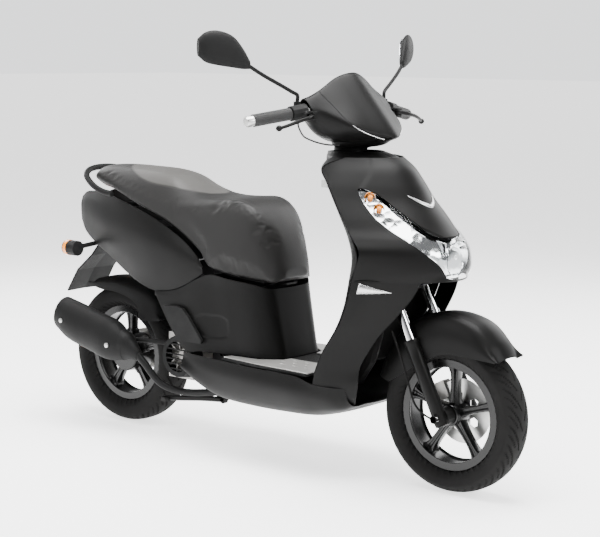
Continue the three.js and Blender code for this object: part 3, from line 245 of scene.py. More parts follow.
def painted(name, level=0.0034, rough=0.42):
    look = Look(name, (level, level * 0.97, level * 0.94), rough, {"Specular IOR Level": 0.09})
    cloudy = look.noise(3.2, 2)
    low = (level * 0.86, level * 0.84, level * 0.82, 1)
    high = (level * 1.16, level * 1.13, level * 1.09, 1)
    body = look.mix(look.over(cloudy, 0.3, 0.7), low, high)
    look.put("Base Color", look.mix(look.worn(0.28), body, (level * 2.6, level * 2.5, level * 2.4, 1)))
    look.put("Roughness", rough - 0.05 + look.noise(14, 4) * 0.1)
    look.bump(look.noise(1500, 2) * 0.6 + look.noise(380, 1) * 0.4, 0.00007)
    return look


def moulded(name, level=0.005, rough=0.6, grain=1100):
    """Unpainted black plastic with the fine leathery grain of the mould."""
    look = Look(name, (level, level, level), rough, {"Specular IOR Level": 0.12})
    look.put("Base Color", look.mix(look.worn(0.5), grey(level), grey(level * 3)))
    look.put("Roughness", rough - 0.06 + look.noise(20, 4) * 0.12)
    look.bump(look.cells(grain), 0.00016)
    return look


paint = painted("satin_charcoal")
plastic = moulded("grained_black")


def fitted(made, body, look, slot, *nodes):
    """Gives a piece its finish and the CAD body it moves with, and hides the nodes that it stands for."""
    made.data.materials.clear()
    made.data.materials.append(look.material)
    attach(made, body)
    if nodes:
        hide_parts(*nodes)
    return made


def smooth(made, sharp=38):
    if made.type == "MESH":
        made.data.polygons.foreach_set("use_smooth", [True] * len(made.data.polygons))
        made.data.set_sharp_from_angle(angle=math.radians(sharp))
    return made


def rounded(made, radius, segments=2, sharp=30):
    """A small radius along every sharp edge, as a moulding or a casting has."""
    edge = made.modifiers.new("edges", "BEVEL")
    edge.width = radius
    edge.segments = segments
    edge.angle_limit = math.radians(sharp)
    edge.use_clamp_overlap = True
    return smooth(made, sharp)


def drawn(rows, count):
    """Rows of numbers made finer along their first side, on a smooth curve through them."""
    rows = np.asarray(rows, float)
    steps = np.linspace(0, len(rows) - 1, count)
    at = np.minimum(steps.astype(int), len(rows) - 2)
    share = (steps - at).reshape(-1, *[1] * (rows.ndim - 1))
    line = np.concatenate([2 * rows[:1] - rows[1:2], rows, 2 * rows[-1:] - rows[-2:-1]])
    a, b, c, d = line[at], line[at + 1], line[at + 2], line[at + 3]
    bend = (2 * a - 5 * b + 4 * c - d) * share ** 2 + (3 * b - a - 3 * c + d) * share ** 3
    return 0.5 * (2 * b + (c - a) * share + bend)


def grid_faces(long, wide, closed=False):
    around = wide if closed else wide - 1
    return [[i * wide + j, i * wide + (j + 1) % wide, (i + 1) * wide + (j + 1) % wide, (i + 1) * wide + j]
            for i in range(long - 1) for j in range(around)]


def thickened(made, thick, side=0):
    """Gives a skin its wall: side is 1 or -1 for one way along its normals, and 0 for half each way."""
    solid = made.modifiers.new("thickness", "SOLIDIFY")
    solid.thickness = thick
    solid.offset = side
    return made


def shell(name, rows, thick=wall, fine=(60, 48), inward=-1.0, edge=0.0012):
    """A thin moulded skin over rows of points, made fine both ways, with its rim rounded."""
    grid = np.asarray([[tuple(p) for p in row] for row in rows])
    grid = drawn(np.swapaxes(drawn(np.swapaxes(grid, 0, 1), fine[1]), 0, 1), fine[0])
    made = thickened(mesh_object(name, grid.reshape(-1, 3), grid_faces(fine[0], fine[1])), thick, inward)
    if edge:
        rounded(made, edge, 2, 50)
    return smooth(made, 50)


def tube(name, points, radius, taper=None):
    """A round bar or cable along a smooth line through the points."""
    curve = bpy.data.curves.new(name, "CURVE")
    curve.dimensions = "3D"
    curve.bevel_depth = radius
    curve.bevel_resolution = 5
    curve.use_fill_caps = True
    fine = drawn([tuple(p) for p in points], 8 * len(points) + 1)
    line = curve.splines.new("POLY")
    line.points.add(len(fine) - 1)
    for number, (point, place) in enumerate(zip(line.points, fine)):
        point.co = (*place, 1)
        if taper:
            point.radius = taper[0] + (taper[1] - taper[0]) * number / (len(fine) - 1)
    made = bpy.data.objects.new(name, curve)
    bpy.context.scene.collection.objects.link(made)
    return made


def solid_of(made):
    """The object's mesh with its modifiers applied."""
    bpy.context.view_layer.update()
    graph = bpy.context.evaluated_depsgraph_get()
    mesh = bpy.data.meshes.new_from_object(made.evaluated_get(graph))
    made.modifiers.clear()
    if made.type == "MESH":
        made.data = mesh
        return made
    swapped = bpy.data.objects.new(made.name + "_mesh", mesh)
    bpy.context.scene.collection.objects.link(swapped)
    name = made.name
    bpy.data.objects.remove(made)
    swapped.name = name
    return swapped


def cut_by(made, cutters, operation="DIFFERENCE"):
    for cutter in cutters:
        tool = made.modifiers.new("cut", "BOOLEAN")
        tool.object = cutter
        tool.operation = operation
        tool.solver = "EXACT"
        solid_of(made)
        bpy.data.objects.remove(cutter)
    return made


def faced_out(made):
    """Turns every face of a closed mesh outwards."""
    mesh = bmesh.new()
    mesh.from_mesh(made.data)
    bmesh.ops.recalc_face_normals(mesh, faces=mesh.faces)
    mesh.to_mesh(made.data)
    mesh.free()
    return made


def lofted(name, rings):
    """A closed solid through rings of points, with a flat cap on each end."""
    wide = len(rings[0])
    caps = [list(range(wide))[::-1], list(range((len(rings) - 1) * wide, len(rings) * wide))]
    return mesh_object(name, [p for ring in rings for p in ring], grid_faces(len(rings), wide, True) + caps)


def prism(name, outline, place, near, far):
    """A straight-sided block over an outline; place turns an outline point and a depth into a point."""
    return faced_out(lofted(name, [[place(p, depth) for p in outline] for depth in (near, far)]))


def read(table, key, column):
    """The column's value at a key, straight between the table's rows."""
    keys = [row[0] for row in table]
    order = np.argsort(keys)
    return float(np.interp(key, np.array(keys)[order], np.array([row[column] for row in table])[order]))


# Rows: height, centre line x, edge x, half width at the edge.
apron_rows = [
    [952, 498, 398, 118], [922, 540, 354, 165], [880, 572, 388, 182], [835, 602, 424, 195],
    [790, 642, 462, 207],
    [758, 672, 488, 215], [730, 702, 514, 223], [701, 722, 538, 229], [674, 732, 536, 231],
    [640, 735, 524, 231],
    [612, 722, 514, 230],
]


# Half width of the raised hood at each height: it follows the lamp's wings, then narrows to the top.
hood_rows = [[612, 20], [730, 34], [768, 84], [822, 116], [866, 146], [905, 112], [952, 78]]
hood_rise = 4.0
hood_from = 735               # the hood starts above the lamp's middle
hood_flank = 5                # width of the slope up to it


def apron_skin(inset, columns=33, rows=44, hood=False):
    skin = []
    for z, nose, edge, half in drawn(apron_rows, rows):
        row = []
        for number in range(columns):
            share = 2 * number / (columns - 1) - 1
            inside = (read(hood_rows, z, 1) - abs(share) * half) / hood_flank
            rise = hood_rise * max(0.0, min(1.0, inside)) if hood and z > hood_from else 0.0
            row.append(mm(nose - inset + rise - (nose - edge) * abs(share) ** 2, share * half, z))
        skin.append(row)
    return skin


# Half of the lamp's outline from the front: across and up.
lamp_side = [
    [0, 618], [50, 624], [80, 664], [112, 698], [136, 736], [150, 768], [156, 802], [146, 866], [122, 854],
    [108, 822], [96, 795], [80, 768], [56, 740], [0, 730],
]


def lamp_outline(grow=0.0):
    side = drawn(lamp_side, 61)
    whole = [tuple(p) for p in side] + [(-y, z) for y, z in side[-2:0:-1]]
    around = len(whole)
    moved = []
    for i, (y, z) in enumerate(whole):
        run = Vector(whole[(i + 1) % around]) - Vector(whole[i - 1])
        run.normalize()
        moved.append((y + run.y * grow, z - run.x * grow))
    return moved


def lamp_block(grow, near=420, far=800):
    return prism("lamp_tool", lamp_outline(grow), lambda p, x: mm(x, p[0], p[1]), near, far)


apron = shell("apron_panel", apron_skin(0, 121, 90, True), fine=(120, 160), inward=1, edge=0)
solid_of(apron)
cut_by(apron, [lamp_block(1)])
rounded(apron, 0.0009, 2, 40)
fitted(apron, "chassis", paint, "satin_black", "front_apron")

# Lower shields, each side: height, rear edge x and half width, front edge x and half width.
shield_rows = [
    [618, 514, 230, 664, 92], [560, 500, 229, 636, 108], [494, 474, 226, 588, 132], [455, 448, 224, 556, 146],
    [408, 414, 222, 526, 156], [350, 384, 220, 496, 163], [300, 366, 218, 492, 165],
    [262, 372, 214, 476, 152],
    [232, 392, 182, 456, 131], [214, 402, 156, 434, 124],
]


def shield_skin(side, inset=0):
    skin = []
    for z, back_x, back_y, front_x, front_y in shield_rows:
        skin.append([mm(back_x + (front_x - back_x) * s,
                        side * (back_y + (front_y - back_y) * s ** 1.6 - inset), z)
                     for s in (0, 0.3, 0.65, 1)])
    return skin


for side, word in both_sides:
    shield = shell(f"leg_shield_{word}", shield_skin(side), fine=(60, 24), inward=-side)
    fitted(shield, "chassis", paint, "satin_black")

# Inner leg shield: height, centre line x.
inner_rows = [
    [948, 268], [922, 282], [880, 306], [835, 332], [790, 356], [730, 385], [674, 404], [612, 412],
    [540, 404],
    [470, 388], [400, 370], [350, 358], [321, 350],
]


def outer_edge(z):
    table, x, y = (apron_rows, 2, 3) if z > 612 else (shield_rows, 1, 2)
    return read(table, z, x), read(table, z, y)


inner_skin = []
for z, centre in inner_rows:
    reach, half = outer_edge(z)
    shares = [i / 8 - 1 for i in range(17)]
    inner_skin.append([mm(centre + (reach - 1 - centre) * abs(s) ** 2.2, s * (half - 0.5),
                          z) for s in shares])
inner = shell("inner_leg_shield_panel", inner_skin, fine=(90, 60), inward=1)
fitted(inner, "chassis", paint, "satin_black", "inner_leg_shield")


def turned(name, start, end, profile, sides=48):
    """A lathe-turned piece from start to end: the profile's rows are distance along and radius."""
    start, end = Vector(start), Vector(end)
    axis = (end - start).normalized()
    across = axis.orthogonal().normalized()
    over = axis.cross(across)
    turns = [2 * math.pi * i / sides for i in range(sides)]
    spokes = [across * math.cos(turn) + over * math.sin(turn) for turn in turns]
    rings = [[start + axis * distance + spoke * max(radius, 1e-5) for spoke in spokes]
             for distance, radius in profile]
    return smooth(faced_out(lofted(name, rings)))


def oval_skin(rings):
    """Rings of points from rows of centre x, half length, half width and height."""
    turns = [math.radians(degrees) for degrees in range(0, 361, 15)]
    return [[mm(x + rx * math.cos(turn), ry * math.sin(turn), z) for turn in turns] for x, rx, ry, z in rings]


# The collar round the steering stem, closing the top of the apron.
collar_rings = [[376, 108, 108, 936], [370, 104, 101, 948], [356, 92, 85, 957], [346, 84, 75, 963]]
collar = shell("stem_collar", oval_skin(collar_rings), fine=(16, 72), inward=1)
fitted(collar, "chassis", paint, "satin_black")

# ---------- headlight ----------
# A clear polycarbonate lens over a bright dimpled reflector, with one round lamp in the middle and two
# amber indicator bulbs in each wing. The lens clips into the apron.
clear = Look("clear_polycarbonate", (0.97, 0.98, 0.98), 0.03, {"Transmission Weight": 1.0, "IOR": 1.15})
clear.put("Roughness", 0.02 + clear.noise(60) * 0.03)
clear.bump(clear.noise(220, 1), 0.00004)
bright = Look("aluminised_reflector", (0.86, 0.87, 0.88), 0.09, {"Metallic": 1.0})
bright.put("Roughness", 0.06 + bright.noise(45) * 0.12)
bright.bump(bright.cells(46), 0.0011)
amber = Look("amber_glass", (0.92, 0.28, 0.015), 0.12, {"Coat Weight": 0.6})
amber.put("Base Color", amber.mix(amber.noise(120), (0.95, 0.34, 0.02, 1), (0.75, 0.17, 0.008, 1)))
housing = shell("headlight_reflector", apron_skin(24), fine=(70, 70), edge=0)
solid_of(housing)
cut_by(housing, [lamp_block(-1.5)], "INTERSECT")
fitted(smooth(housing, 30), "chassis", bright, "reflector", "headlight_housing")
lens = shell("headlight_lens_clear", apron_skin(-1.5), thick=0.0022, fine=(70, 70), inward=1, edge=0)
solid_of(lens)
cut_by(lens, [lamp_block(-0.5)], "INTERSECT")
fitted(smooth(lens, 60), "chassis", clear, "clear_lens", "headlight_lens")
lamp_axis = Vector((1, 0, -0.05)).normalized()
bowl_at = mm(688, 0, 676)
bowl = turned("headlight_bowl", bowl_at, bowl_at + lamp_axis,
              [(0.0, 0.016), (0.006, 0.03), (0.016, 0.042), (0.026, 0.048), (0.028, 0.05),
                                                             (0.024, 0.05), (0.012, 0.043), (0.002, 0.03),
                                                             (-0.002, 0.016)], 64)
fitted(bowl, "chassis", bright, "reflector")
shade = turned("headlight_bulb_shield", bowl_at + lamp_axis * 0.004, bowl_at + lamp_axis,
               [(0, 0.008), (0.012, 0.011), (0.018, 0.009), (0.02, 0.001)])
fitted(shade, "chassis", bright, "reflector")

for side, word in both_sides:
    rib = prism(f"lamp_divider_{word}", [(626, 655), (664, 655), (690, 700), (722, 700), (734, 640),
                                         (712, 626)],
                lambda p, y: mm(p[1] + 20 if p[0] < 640 else p[1] + 8, y, p[0]), side * 46, side * 49)
    fitted(rounded(rib, 0.0006, 2), "chassis", bright, "reflector")


apron_fine = drawn(apron_rows, 120)


def on_apron(y, z, inset=0.0):
    """A point on the apron's skin, or inset millimetres behind it."""
    nose, edge, half = (read(apron_fine, z, column) for column in (1, 2, 3))
    return mm(nose - inset - (nose - edge) * min(1, abs(y) / half) ** 2, y, z)


for side, word in both_sides:
    for row, up_lamp in enumerate((812, 843)):
        bulb_at = on_apron(side * 129, up_lamp, 19)
        bulb = turned(f"indicator_bulb_{word}_{row + 1}", bulb_at, bulb_at + Vector((0.9, side * 0.5, 0.1)),
                      [(0, 0.006), (0.004, 0.0085), (0.008, 0.0085), (0.0125, 0.006), (0.0145, 0.001)], 32)
        fitted(bulb, "chassis", amber, "clear_lens")
        cup_way = Vector((0.8, side * 0.6, 0.1)).normalized()
        cup = turned(f"indicator_cup_{word}_{row + 1}", bulb_at - cup_way * 0.003, bulb_at + cup_way,
                     [(0, 0.007), (0.003, 0.012), (0.008, 0.0155), (0.0085, 0.0165), (0.002, 0.0125),
                      (-0.001, 0.007)], 40)
        fitted(cup, "chassis", bright, "reflector")

# A bright V low on the hood and a small bright triangle on each lower shield. Both are thin plated
# mouldings, held by adhesive.
trim = varied("satin_silver_trim", grey(0.55), grey(0.68), (9,), (0.2, 0.12), (60, 3), {"Metallic": 0.9})
v_half = 58
v_point = 819
v_lift = 30
trim_proud = 0.9
v_edges = [[], []]
for number in range(41):
    share = number / 20 - 1
    middle_z = v_point + v_lift * abs(share) ** 1.5
    half_wide = 4.6 * (1 - abs(share) ** 3) + 0.8
    for edge, way in zip(v_edges, (1, -1)):
        edge.append(on_apron(share * v_half, middle_z + way * half_wide, -trim_proud - hood_rise))
v_trim = mesh_object("hood_v_trim", v_edges[0] + v_edges[1], [[i, i + 1, 42 + i, 41 + i] for i in range(40)])
fitted(smooth(thickened(v_trim, 0.0016), 50), "chassis", trim, "chrome")


shield_fine = drawn(shield_rows, 120)


def on_shield(side, share, z, proud=1.2):
    back_x, back_y, front_x, front_y = (read(shield_fine, z, column) for column in (1, 2, 3, 4))
    return mm(back_x + (front_x - back_x) * share,
              side * (back_y + (front_y - back_y) * share ** 1.6 + proud), z)


# The triangle's corners: share of the way from the shield's rear edge to its front, and height.
top_corner, tip_corner, low_corner = Vector((0.16, 611)), Vector((0.69, 583)), Vector((0.16, 580))
for side, word in both_sides:
    fine = []
    for number in range(13):
        fine += [on_shield(side, *corner.lerp(tip_corner, number / 12)) for corner in (top_corner,
            low_corner)]
    badge = mesh_object(f"shield_triangle_{word}", fine,
                        [[2 * i, 2 * i + 1, 2 * i + 3, 2 * i + 2] for i in range(12)])
    fitted(smooth(thickened(badge, 0.0014), 50), "chassis", trim, "chrome")

# ---------- floor and belly ----------
# The rider's feet stand on two satin aluminium plates with small slots, over a black floor moulding.
# The belly pan below hides the frame spine and runs back under the engine.
step_alu = varied("satin_step_plate", (0.55, 0.54, 0.52, 1), (0.68, 0.67, 0.65, 1), (6,), (0.27, 0.2),
                  (90, 4, (1, 7, 1)), {"Metallic": 0.85})
step_alu.bump(step_alu.noise(900, 2, (1, 8, 1)), 0.00005)
step_outline = [[-20, -179], [-14, -152], [84, -140], [146, -96], [152, -62], [330, -62], [331, -199],
                [120, -194], [20, -183]]
step_z = 317.3
for side, word in both_sides:
    outline = [(x, -y * side) for x, y in step_outline]
    plate = prism(f"step_plate_{word}_treaded", outline, lambda p, up: mm(p[0], p[1], up), step_z, step_z + 3)
    slots = []
    for row in range(4):
        for column in range(7):
            x = 6 + column * 46 + (row % 2) * 20
            y = 84 + row * 30
            inside = y < 170 and (x > 160 or y > 154) and x < 314
            if inside:
                slot = [(x + dx, side * (y + dy)) for dx,
                        dy in ((-8, -2), (8, -2), (10, 0), (8, 2), (-8, 2), (-10, 0))]
                slots.append(prism("slot_tool", slot, lambda p, up: mm(p[0], p[1], up),
                                   step_z + 1, step_z + 8))
    cut_by(plate, slots)
    fitted(rounded(plate, 0.0006, 2, 40), "chassis", step_alu, "step_metal", f"step_plate_{word}")

belly_rows = [
    [-205, 166, 309, 168, 290, 166, 262], [-120, 180, 309, 186, 272, 160, 212],
    [-40, 190, 309, 197, 262, 150, 184],
    [80, 203, 309, 210, 258, 146, 177], [200, 211, 309, 218, 256, 142, 178],
    [300, 216, 309, 222, 256, 134, 182],
    [360, 217, 296, 214, 254, 120, 192], [420, 205, 292, 196, 250, 104, 210],
    [458, 180, 290, 168, 254, 84, 232],
]
belly_skin = []
for x, sill_y, sill_z, flank_y, flank_z, keel_y, keel_z in belly_rows:
    right = [(sill_y, sill_z), (flank_y, flank_z),
             ((flank_y + keel_y) / 2 + 12, (flank_z + keel_z) / 2 - 10), (keel_y, keel_z),
             (keel_y * 0.5, keel_z - 3)]
    belly_skin.append([mm(x, -y, z) for y, z in right] + [mm(x, y, z) for y, z in reversed(right)])
belly = shell("belly_pan_skin", belly_skin, fine=(80, 70), inward=1, edge=0)
solid_of(belly)
opening = prism("opening_tool", [(-149, 150), (149, 150), (149, 320), (-149, 320)],
                lambda p, x: mm(x, p[0], p[1]), -230, -8)
cut_by(belly, [opening])
fitted(rounded(belly, 0.0009, 2, 45), "chassis", paint, "satin_black", "belly_pan")

# ---------- seat pillar ----------
# One painted moulding wraps the helmet box below the seat, with a shallow rounded recess pressed
# into each flank for the fuse cover.
pillar_stations = [
    [-352, 147, -318, 152, 486, 440], [-292, 151, -262, 158, 493, 370], [-226, 155, -196, 163, 511, 312.5],
    [-164, 158, -140, 160, 542, 318.5], [-100, 157, -60, 146, 566, 318.5], [-30, 150, -10, 139, 558, 318.5],
    [50, 128, 80, 128, 547, 318.5], [86, 92, 132, 88, 533, 318.5], [94, 45, 140, 45, 530, 318.5],
]
pillar_columns = [(*row, -1) for row in pillar_stations] + [(*row, 1) for row in reversed(pillar_stations)]
pillar_skin = [[mm(tx + (lx - tx) * s, side * (ty + (ly - ty) * s ** 0.6), tz + (lz - tz) * s)
                for tx, ty, lx, ly, tz, lz, side in pillar_columns] for s in (0, 0.12, 0.25, 0.4, 0.55,
                    0.7, 0.8, 0.9, 1)]
pillar = shell("seat_pillar_skin", pillar_skin, fine=(70, 150), inward=-1, edge=0)
recess_at = mm(-96, 0, 402)
recess_long, recess_high, recess_deep = 0.062, 0.036, 0.0022
for vertex in pillar.data.vertices:
    x, y, z = vertex.co
    recess = ((x - recess_at.x) / recess_long) ** 4 + ((z - recess_at.z) / recess_high) ** 4
    if abs(y) > 0.12:
        vertex.co.y -= math.copysign(recess_deep * max(0.0, min(1.0, (1.12 - recess) * 4)), y)
fitted(smooth(rounded(pillar, 0.0008, 2, 50), 40), "chassis", paint, "satin_black", "seat_pillar_cover")

# ---------- tail ----------
# Two mirrored side fairings meet the seat, with a rear light between them, a plate holder with amber
# indicators below, and a tubular grab rail round the back of the seat.
tail_rows = [
    [-132, 157, 588, 158, 578, 157, 566], [-160, 158, 622, 164, 588, 158, 549],
    [-210, 158, 660, 169, 604, 157, 522],
    [-270, 156, 690, 170, 620, 153, 500], [-350, 150, 721, 166, 635, 145, 487],
    [-430, 141, 744, 157, 650, 134, 500],
    [-520, 124, 763, 143, 668, 118, 532], [-610, 101, 777, 124, 684, 103, 574],
    [-690, 80, 783, 101, 702, 90, 607],
    [-760, 62, 778, 76, 712, 72, 642], [-800, 50, 758, 58, 716, 55, 678],
]
tail_skin = [[(x, top_y, top_z), (x, top_y * 0.35 + mid_y * 0.65 + 2, (top_z + mid_z) / 2), (x, mid_y, mid_z),
              (x, low_y * 0.35 + mid_y * 0.65, (low_z + mid_z) / 2), (x, low_y, low_z)]
             for x, top_y, top_z, mid_y, mid_z, low_y, low_z in tail_rows]
for side, word in both_sides:
    skin = [[mm(x, side * y, z) for x, y, z in row] for row in tail_skin]
    tail = shell(f"tail_fairing_{word}_skin", skin, fine=(80, 40), inward=-side)
    fitted(tail, "chassis", paint, "satin_black", f"tail_fairing_{word}")
liner_rows = [(-360, 470, 556), (-300, 470, 560), (-226, 480, 560), (-164, 500, 560), (-122, 520, 556)]
for side, word in both_sides:
    skin = [[mm(x, side * 141, low), mm(x, side * 142, (low + high) / 2), mm(x, side * 141, high)] for x,
            low, high in liner_rows]
    fitted(shell(f"tail_liner_{word}", skin, fine=(12, 6), inward=-side, edge=0),
           "chassis", plastic, "matte_black")
red = Look("red_acrylic", (0.42, 0.01, 0.008), 0.12, {"Coat Weight": 0.7})
red.put("Base Color", red.mix(red.noise(70), (0.46, 0.012, 0.01, 1), (0.3, 0.006, 0.005, 1)))
red.bump(red.cells(260), 0.0005)
rail_points = [[-575, 124, 784], [-620, 125, 790], [-668, 121, 806], [-716, 106, 832], [-740, 76, 850],
               [-750, 30, 858]]
rail_path = [mm(x, -y, z) for x, y, z in rail_points] + [mm(x, y, z) for x, y, z in reversed(rail_points)]
fitted(tube("grab_rail_bar", rail_path, 0.0098), "chassis", plastic, "matte_black", "grab_rail")


def carried(node, look, radius=0.0008, sharp=28):
    """A CAD node whose shape is right: it keeps its mesh and gets rounded edges and a full finish."""
    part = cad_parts[node]
    part.data.materials.clear()
    part.data.materials.append(look.material)
    return rounded(part, radius, 2, sharp)


carried("tail_light", red)
carried("plate_holder", plastic)
indicator_at = (-742, 148, 592)
for side, word in both_sides:
    x, y, z = indicator_at
    glass = turned(f"rear_indicator_{word}", mm(x - 12, side * y, z), mm(x - 40, side * y, z),
                   [(0, 0.0262), (0.006, 0.0266), (0.014, 0.0262), (0.019, 0.02), (0.021, 0.008),
                    (0.0215, 0.001)])
    fitted(glass, "chassis", amber, "clear_lens")

# ---------- seat ----------
# A long dual seat of moulded foam under grained vinyl, stapled to a black base and hinged at the front.
# The top of its middle is lighter in an oval, which is a painted highlight where the overhead light falls; a
# seam is bumped round the oval's edge.
vinyl = Look("grained_vinyl", (0.012, 0.0115, 0.011), 0.5, {"Specular IOR Level": 0.22})
seat_x, seat_y = vinyl.axis(0), vinyl.axis(1)
sheen_middle = -0.43
sheen_long = 0.2
sheen_wide = 0.1
sheen_oval = ((seat_x - sheen_middle) * (1 / sheen_long)) ** 2 + (seat_y * (1 / sheen_wide)) ** 2
# Painted highlight: inside this oval the vinyl is coloured lighter, standing in for the overhead light's
# sheen on the seat top.
painted_sheen = 1 - vinyl.over(sheen_oval, 0.92, 1.04)
shade_of_vinyl = vinyl.mix(vinyl.noise(5, 2), (0.0065, 0.0062, 0.006, 1), (0.0095, 0.0091, 0.0088, 1))
# The light grey inside the oval is painted highlight, not a lighter panel of vinyl.
vinyl.put("Base Color", vinyl.mix(painted_sheen, shade_of_vinyl, (0.055, 0.053, 0.050, 1)))
vinyl.put("Roughness", 0.46 + vinyl.noise(16, 3) * 0.1 - painted_sheen * 0.05)
seam = vinyl.over(sheen_oval, 0.98, 1.02) * (1 - vinyl.over(sheen_oval, 1.02, 1.06))
vinyl.bump(vinyl.cells(620) * 0.5 + vinyl.noise(1300, 2) * 0.2 - seam * 1.5, 0.0003)
# Stations: x, top, crease half width and height, bottom half width and height.
seat_rows = [
    [-728, 858, 58, 842, 62, 822], [-700, 868, 74, 846, 80, 812], [-600, 873, 96, 830, 103, 790],
    [-500, 872, 112, 815, 128, 764],
    [-400, 869, 124, 797, 144, 738], [-340, 858, 129, 785, 150, 722], [-280, 828, 131, 778, 154, 700],
    [-220, 806, 132, 777, 157, 668],
    [-160, 797, 128, 780, 157, 626], [-118, 796, 124, 783, 156, 580], [-40, 796, 116, 786, 148, 563],
    [20, 776, 104, 764, 134, 556],
    [66, 732, 90, 716, 114, 550], [104, 662, 70, 644, 92, 548], [126, 596, 44, 588, 56, 562],
]
seat_inset = 3.0                 # the foam swells by about this much
seat_skin = []
for x, top, crease_y, crease_z, low_y, low_z in drawn(seat_rows, 90):
    low_z = low_z + 2
    side = [(0, top), (crease_y * 0.34, top - (top - crease_z) * 0.08),
            (crease_y * 0.66, top - (top - crease_z) * 0.3),
            (crease_y, crease_z), ((crease_y * 2 + low_y) / 3 + 6, crease_z - (crease_z - low_z) * 0.3),
            ((crease_y + low_y * 2) / 3 + 5, crease_z - (crease_z - low_z) * 0.66), (low_y, low_z + 8),
            (low_y - 8, low_z)]
    side = [(max(0.0, y - seat_inset), z - seat_inset * (1 if z > low_z + 9 else 0)) for y, z in side]
    loop = [(-y, z) for y, z in side[::-1]] + side[1:]
    ring = drawn([*loop, loop[0]], 60)[:-1]
    seat_skin.append([mm(x, y, z) for y, z in ring])
cushion = faced_out(lofted("seat_cushion_vinyl", seat_skin))


def swollen(made, voxel=0.006, pressure=4.0, cap=0.007):
    """Foam under a tight cover: a short cloth simulation fills the form, and no point moves past the cap."""
    remesh = made.modifiers.new("voxels", "REMESH")
    remesh.mode = "VOXEL"
    remesh.voxel_size = voxel
    solid_of(made)
    rest = np.array([v.co for v in made.data.vertices])
    cloth = made.modifiers.new("cloth", "CLOTH")
    cloth.settings.use_pressure = True
    cloth.settings.uniform_pressure_force = pressure
    cloth.settings.effector_weights.gravity = 0
    cloth.point_cache.frame_start = 1
    cloth.point_cache.frame_end = 20
    for step in range(1, 21):
        bpy.context.scene.frame_set(step)
    graph = bpy.context.evaluated_depsgraph_get()
    filled = made.evaluated_get(graph).to_mesh()
    moved = np.array([v.co for v in filled.vertices]) - rest
    made.evaluated_get(graph).to_mesh_clear()
    made.modifiers.clear()
    bpy.context.scene.frame_set(1)
    length = np.linalg.norm(moved, axis=1, keepdims=True)
    rest += moved * np.minimum(1, cap / np.maximum(length, 1e-9))
    made.data.vertices.foreach_set("co", rest.astype(np.float32).ravel())
    made.data.update()


swollen(cushion)
round_off = cushion.modifiers.new("round_off", "SUBSURF")
round_off.levels = 1
round_off.render_levels = 1
fitted(smooth(cushion, 80), "seat", vinyl, "seat_cover", "seat_cushion")
carried("seat_base", plastic)
carried("helmet_bucket", plastic)
carried("fuel_tank", plastic)
carried("battery", plastic)
carried("floor_panel", plastic)
enamel = painted("frame_enamel", 0.005, 0.4)
carried("main_frame", enamel, 0.0006, 50)

# ---------- wheels ----------
# Twelve-inch cast alloy wheels in gloss black with five straight spokes, and tubeless tyres whose
# slanted grooves are cut into the real surface.
rubber = varied("tyre_rubber", grey(0.004), (0.008, 0.0076, 0.0073, 1), (22, 4), (0.7, 0.16), (60, 3),
                {"Specular IOR Level": 0.12})
rubber.bump(rubber.noise(1400, 3), 0.00008)
cast_black = Look("gloss_black_enamel", (0.004, 0.004, 0.004), 0.2, {"Specular IOR Level": 0.3})
cast_black.put("Roughness", 0.17 + cast_black.noise(30, 3) * 0.09)
cast_black.put("Base Color", cast_black.mix(cast_black.worn(0.35), grey(0.004), grey(0.015)))
cast_black.bump(cast_black.noise(420, 2), 0.00005)
front_axle = mm(721, 0, 227.745)
rear_axle = mm(-609, 0, 234.707)


def tyre(name, axle, radius, width, body, node, slant):
    """The section's points are radius and half width, from the bead to the crown."""
    half = width / 2
    section = [(164.6, 36), (172, 45), (184, half - 2), (200, half), (radius - 20, half - 3.5),
               (radius - 9, half - 15),
               (radius - 2.8, half - 30), (radius - 0.4, half - 44), (radius, 0)]
    inner = [(166, 31), (184, half - 9), (radius - 22, half - 12), (radius - 11, half - 32), (radius - 9, 0)]
    outside = section + [(r, -y) for r, y in section[-2::-1]]
    inside = [(r, -y) for r, y in inner] + [(r, y) for r, y in inner[-2::-1]]
    across_outside = 65
    ring = [*drawn(outside, across_outside)] + [(r, y) for r, y in inside]
    around = 900
    groove_deep = 4.2
    pitch = 2 * math.pi / 25
    points = []
    for i in range(around):
        turn = 2 * math.pi * i / around
        for j, (r, y) in enumerate(ring):
            depth = 0.0
            if j < across_outside and abs(y) < half - 7:
                reach = abs(y) / (half - 7)
                shift = 0.5 if y > 0 else 0.0
                lean = slant * 0.42 * (reach ** 0.8)
                phase = ((turn + lean) / pitch + shift) % 1.0
                main = abs(phase - 0.5) * pitch * radius
                second = abs((phase + 0.5) % 1.0 - 0.5) * pitch * radius
                if reach > 0.1:
                    depth = max(0.0, min(1.0, 3.4 - main)) * (1 - max(0, reach - 0.86) * 5)
                if reach > 0.5:
                    depth = max(depth, max(0.0, min(1.0, 2.4 - second)) * (1 - max(0, reach - 0.9) * 6))
            cut_r = r - depth * groove_deep
            points.append(axle + Vector((cut_r * math.cos(turn), y, cut_r * math.sin(turn))) / 1000)
    faces = [[point % len(points) for point in face[::-1]] for face in grid_faces(around + 1, len(ring),
        True)]
    made = mesh_object(name, points, faces)
    return fitted(smooth(made, 36), body, rubber, "tyre_rubber", node)


tyre("front_tyre_treaded", front_axle, 227.7, 110, "front_wheel", "front_tyre", -1)
tyre("rear_tyre_treaded", rear_axle, 234.65, 120, "rear_wheel", "rear_tyre", -1)


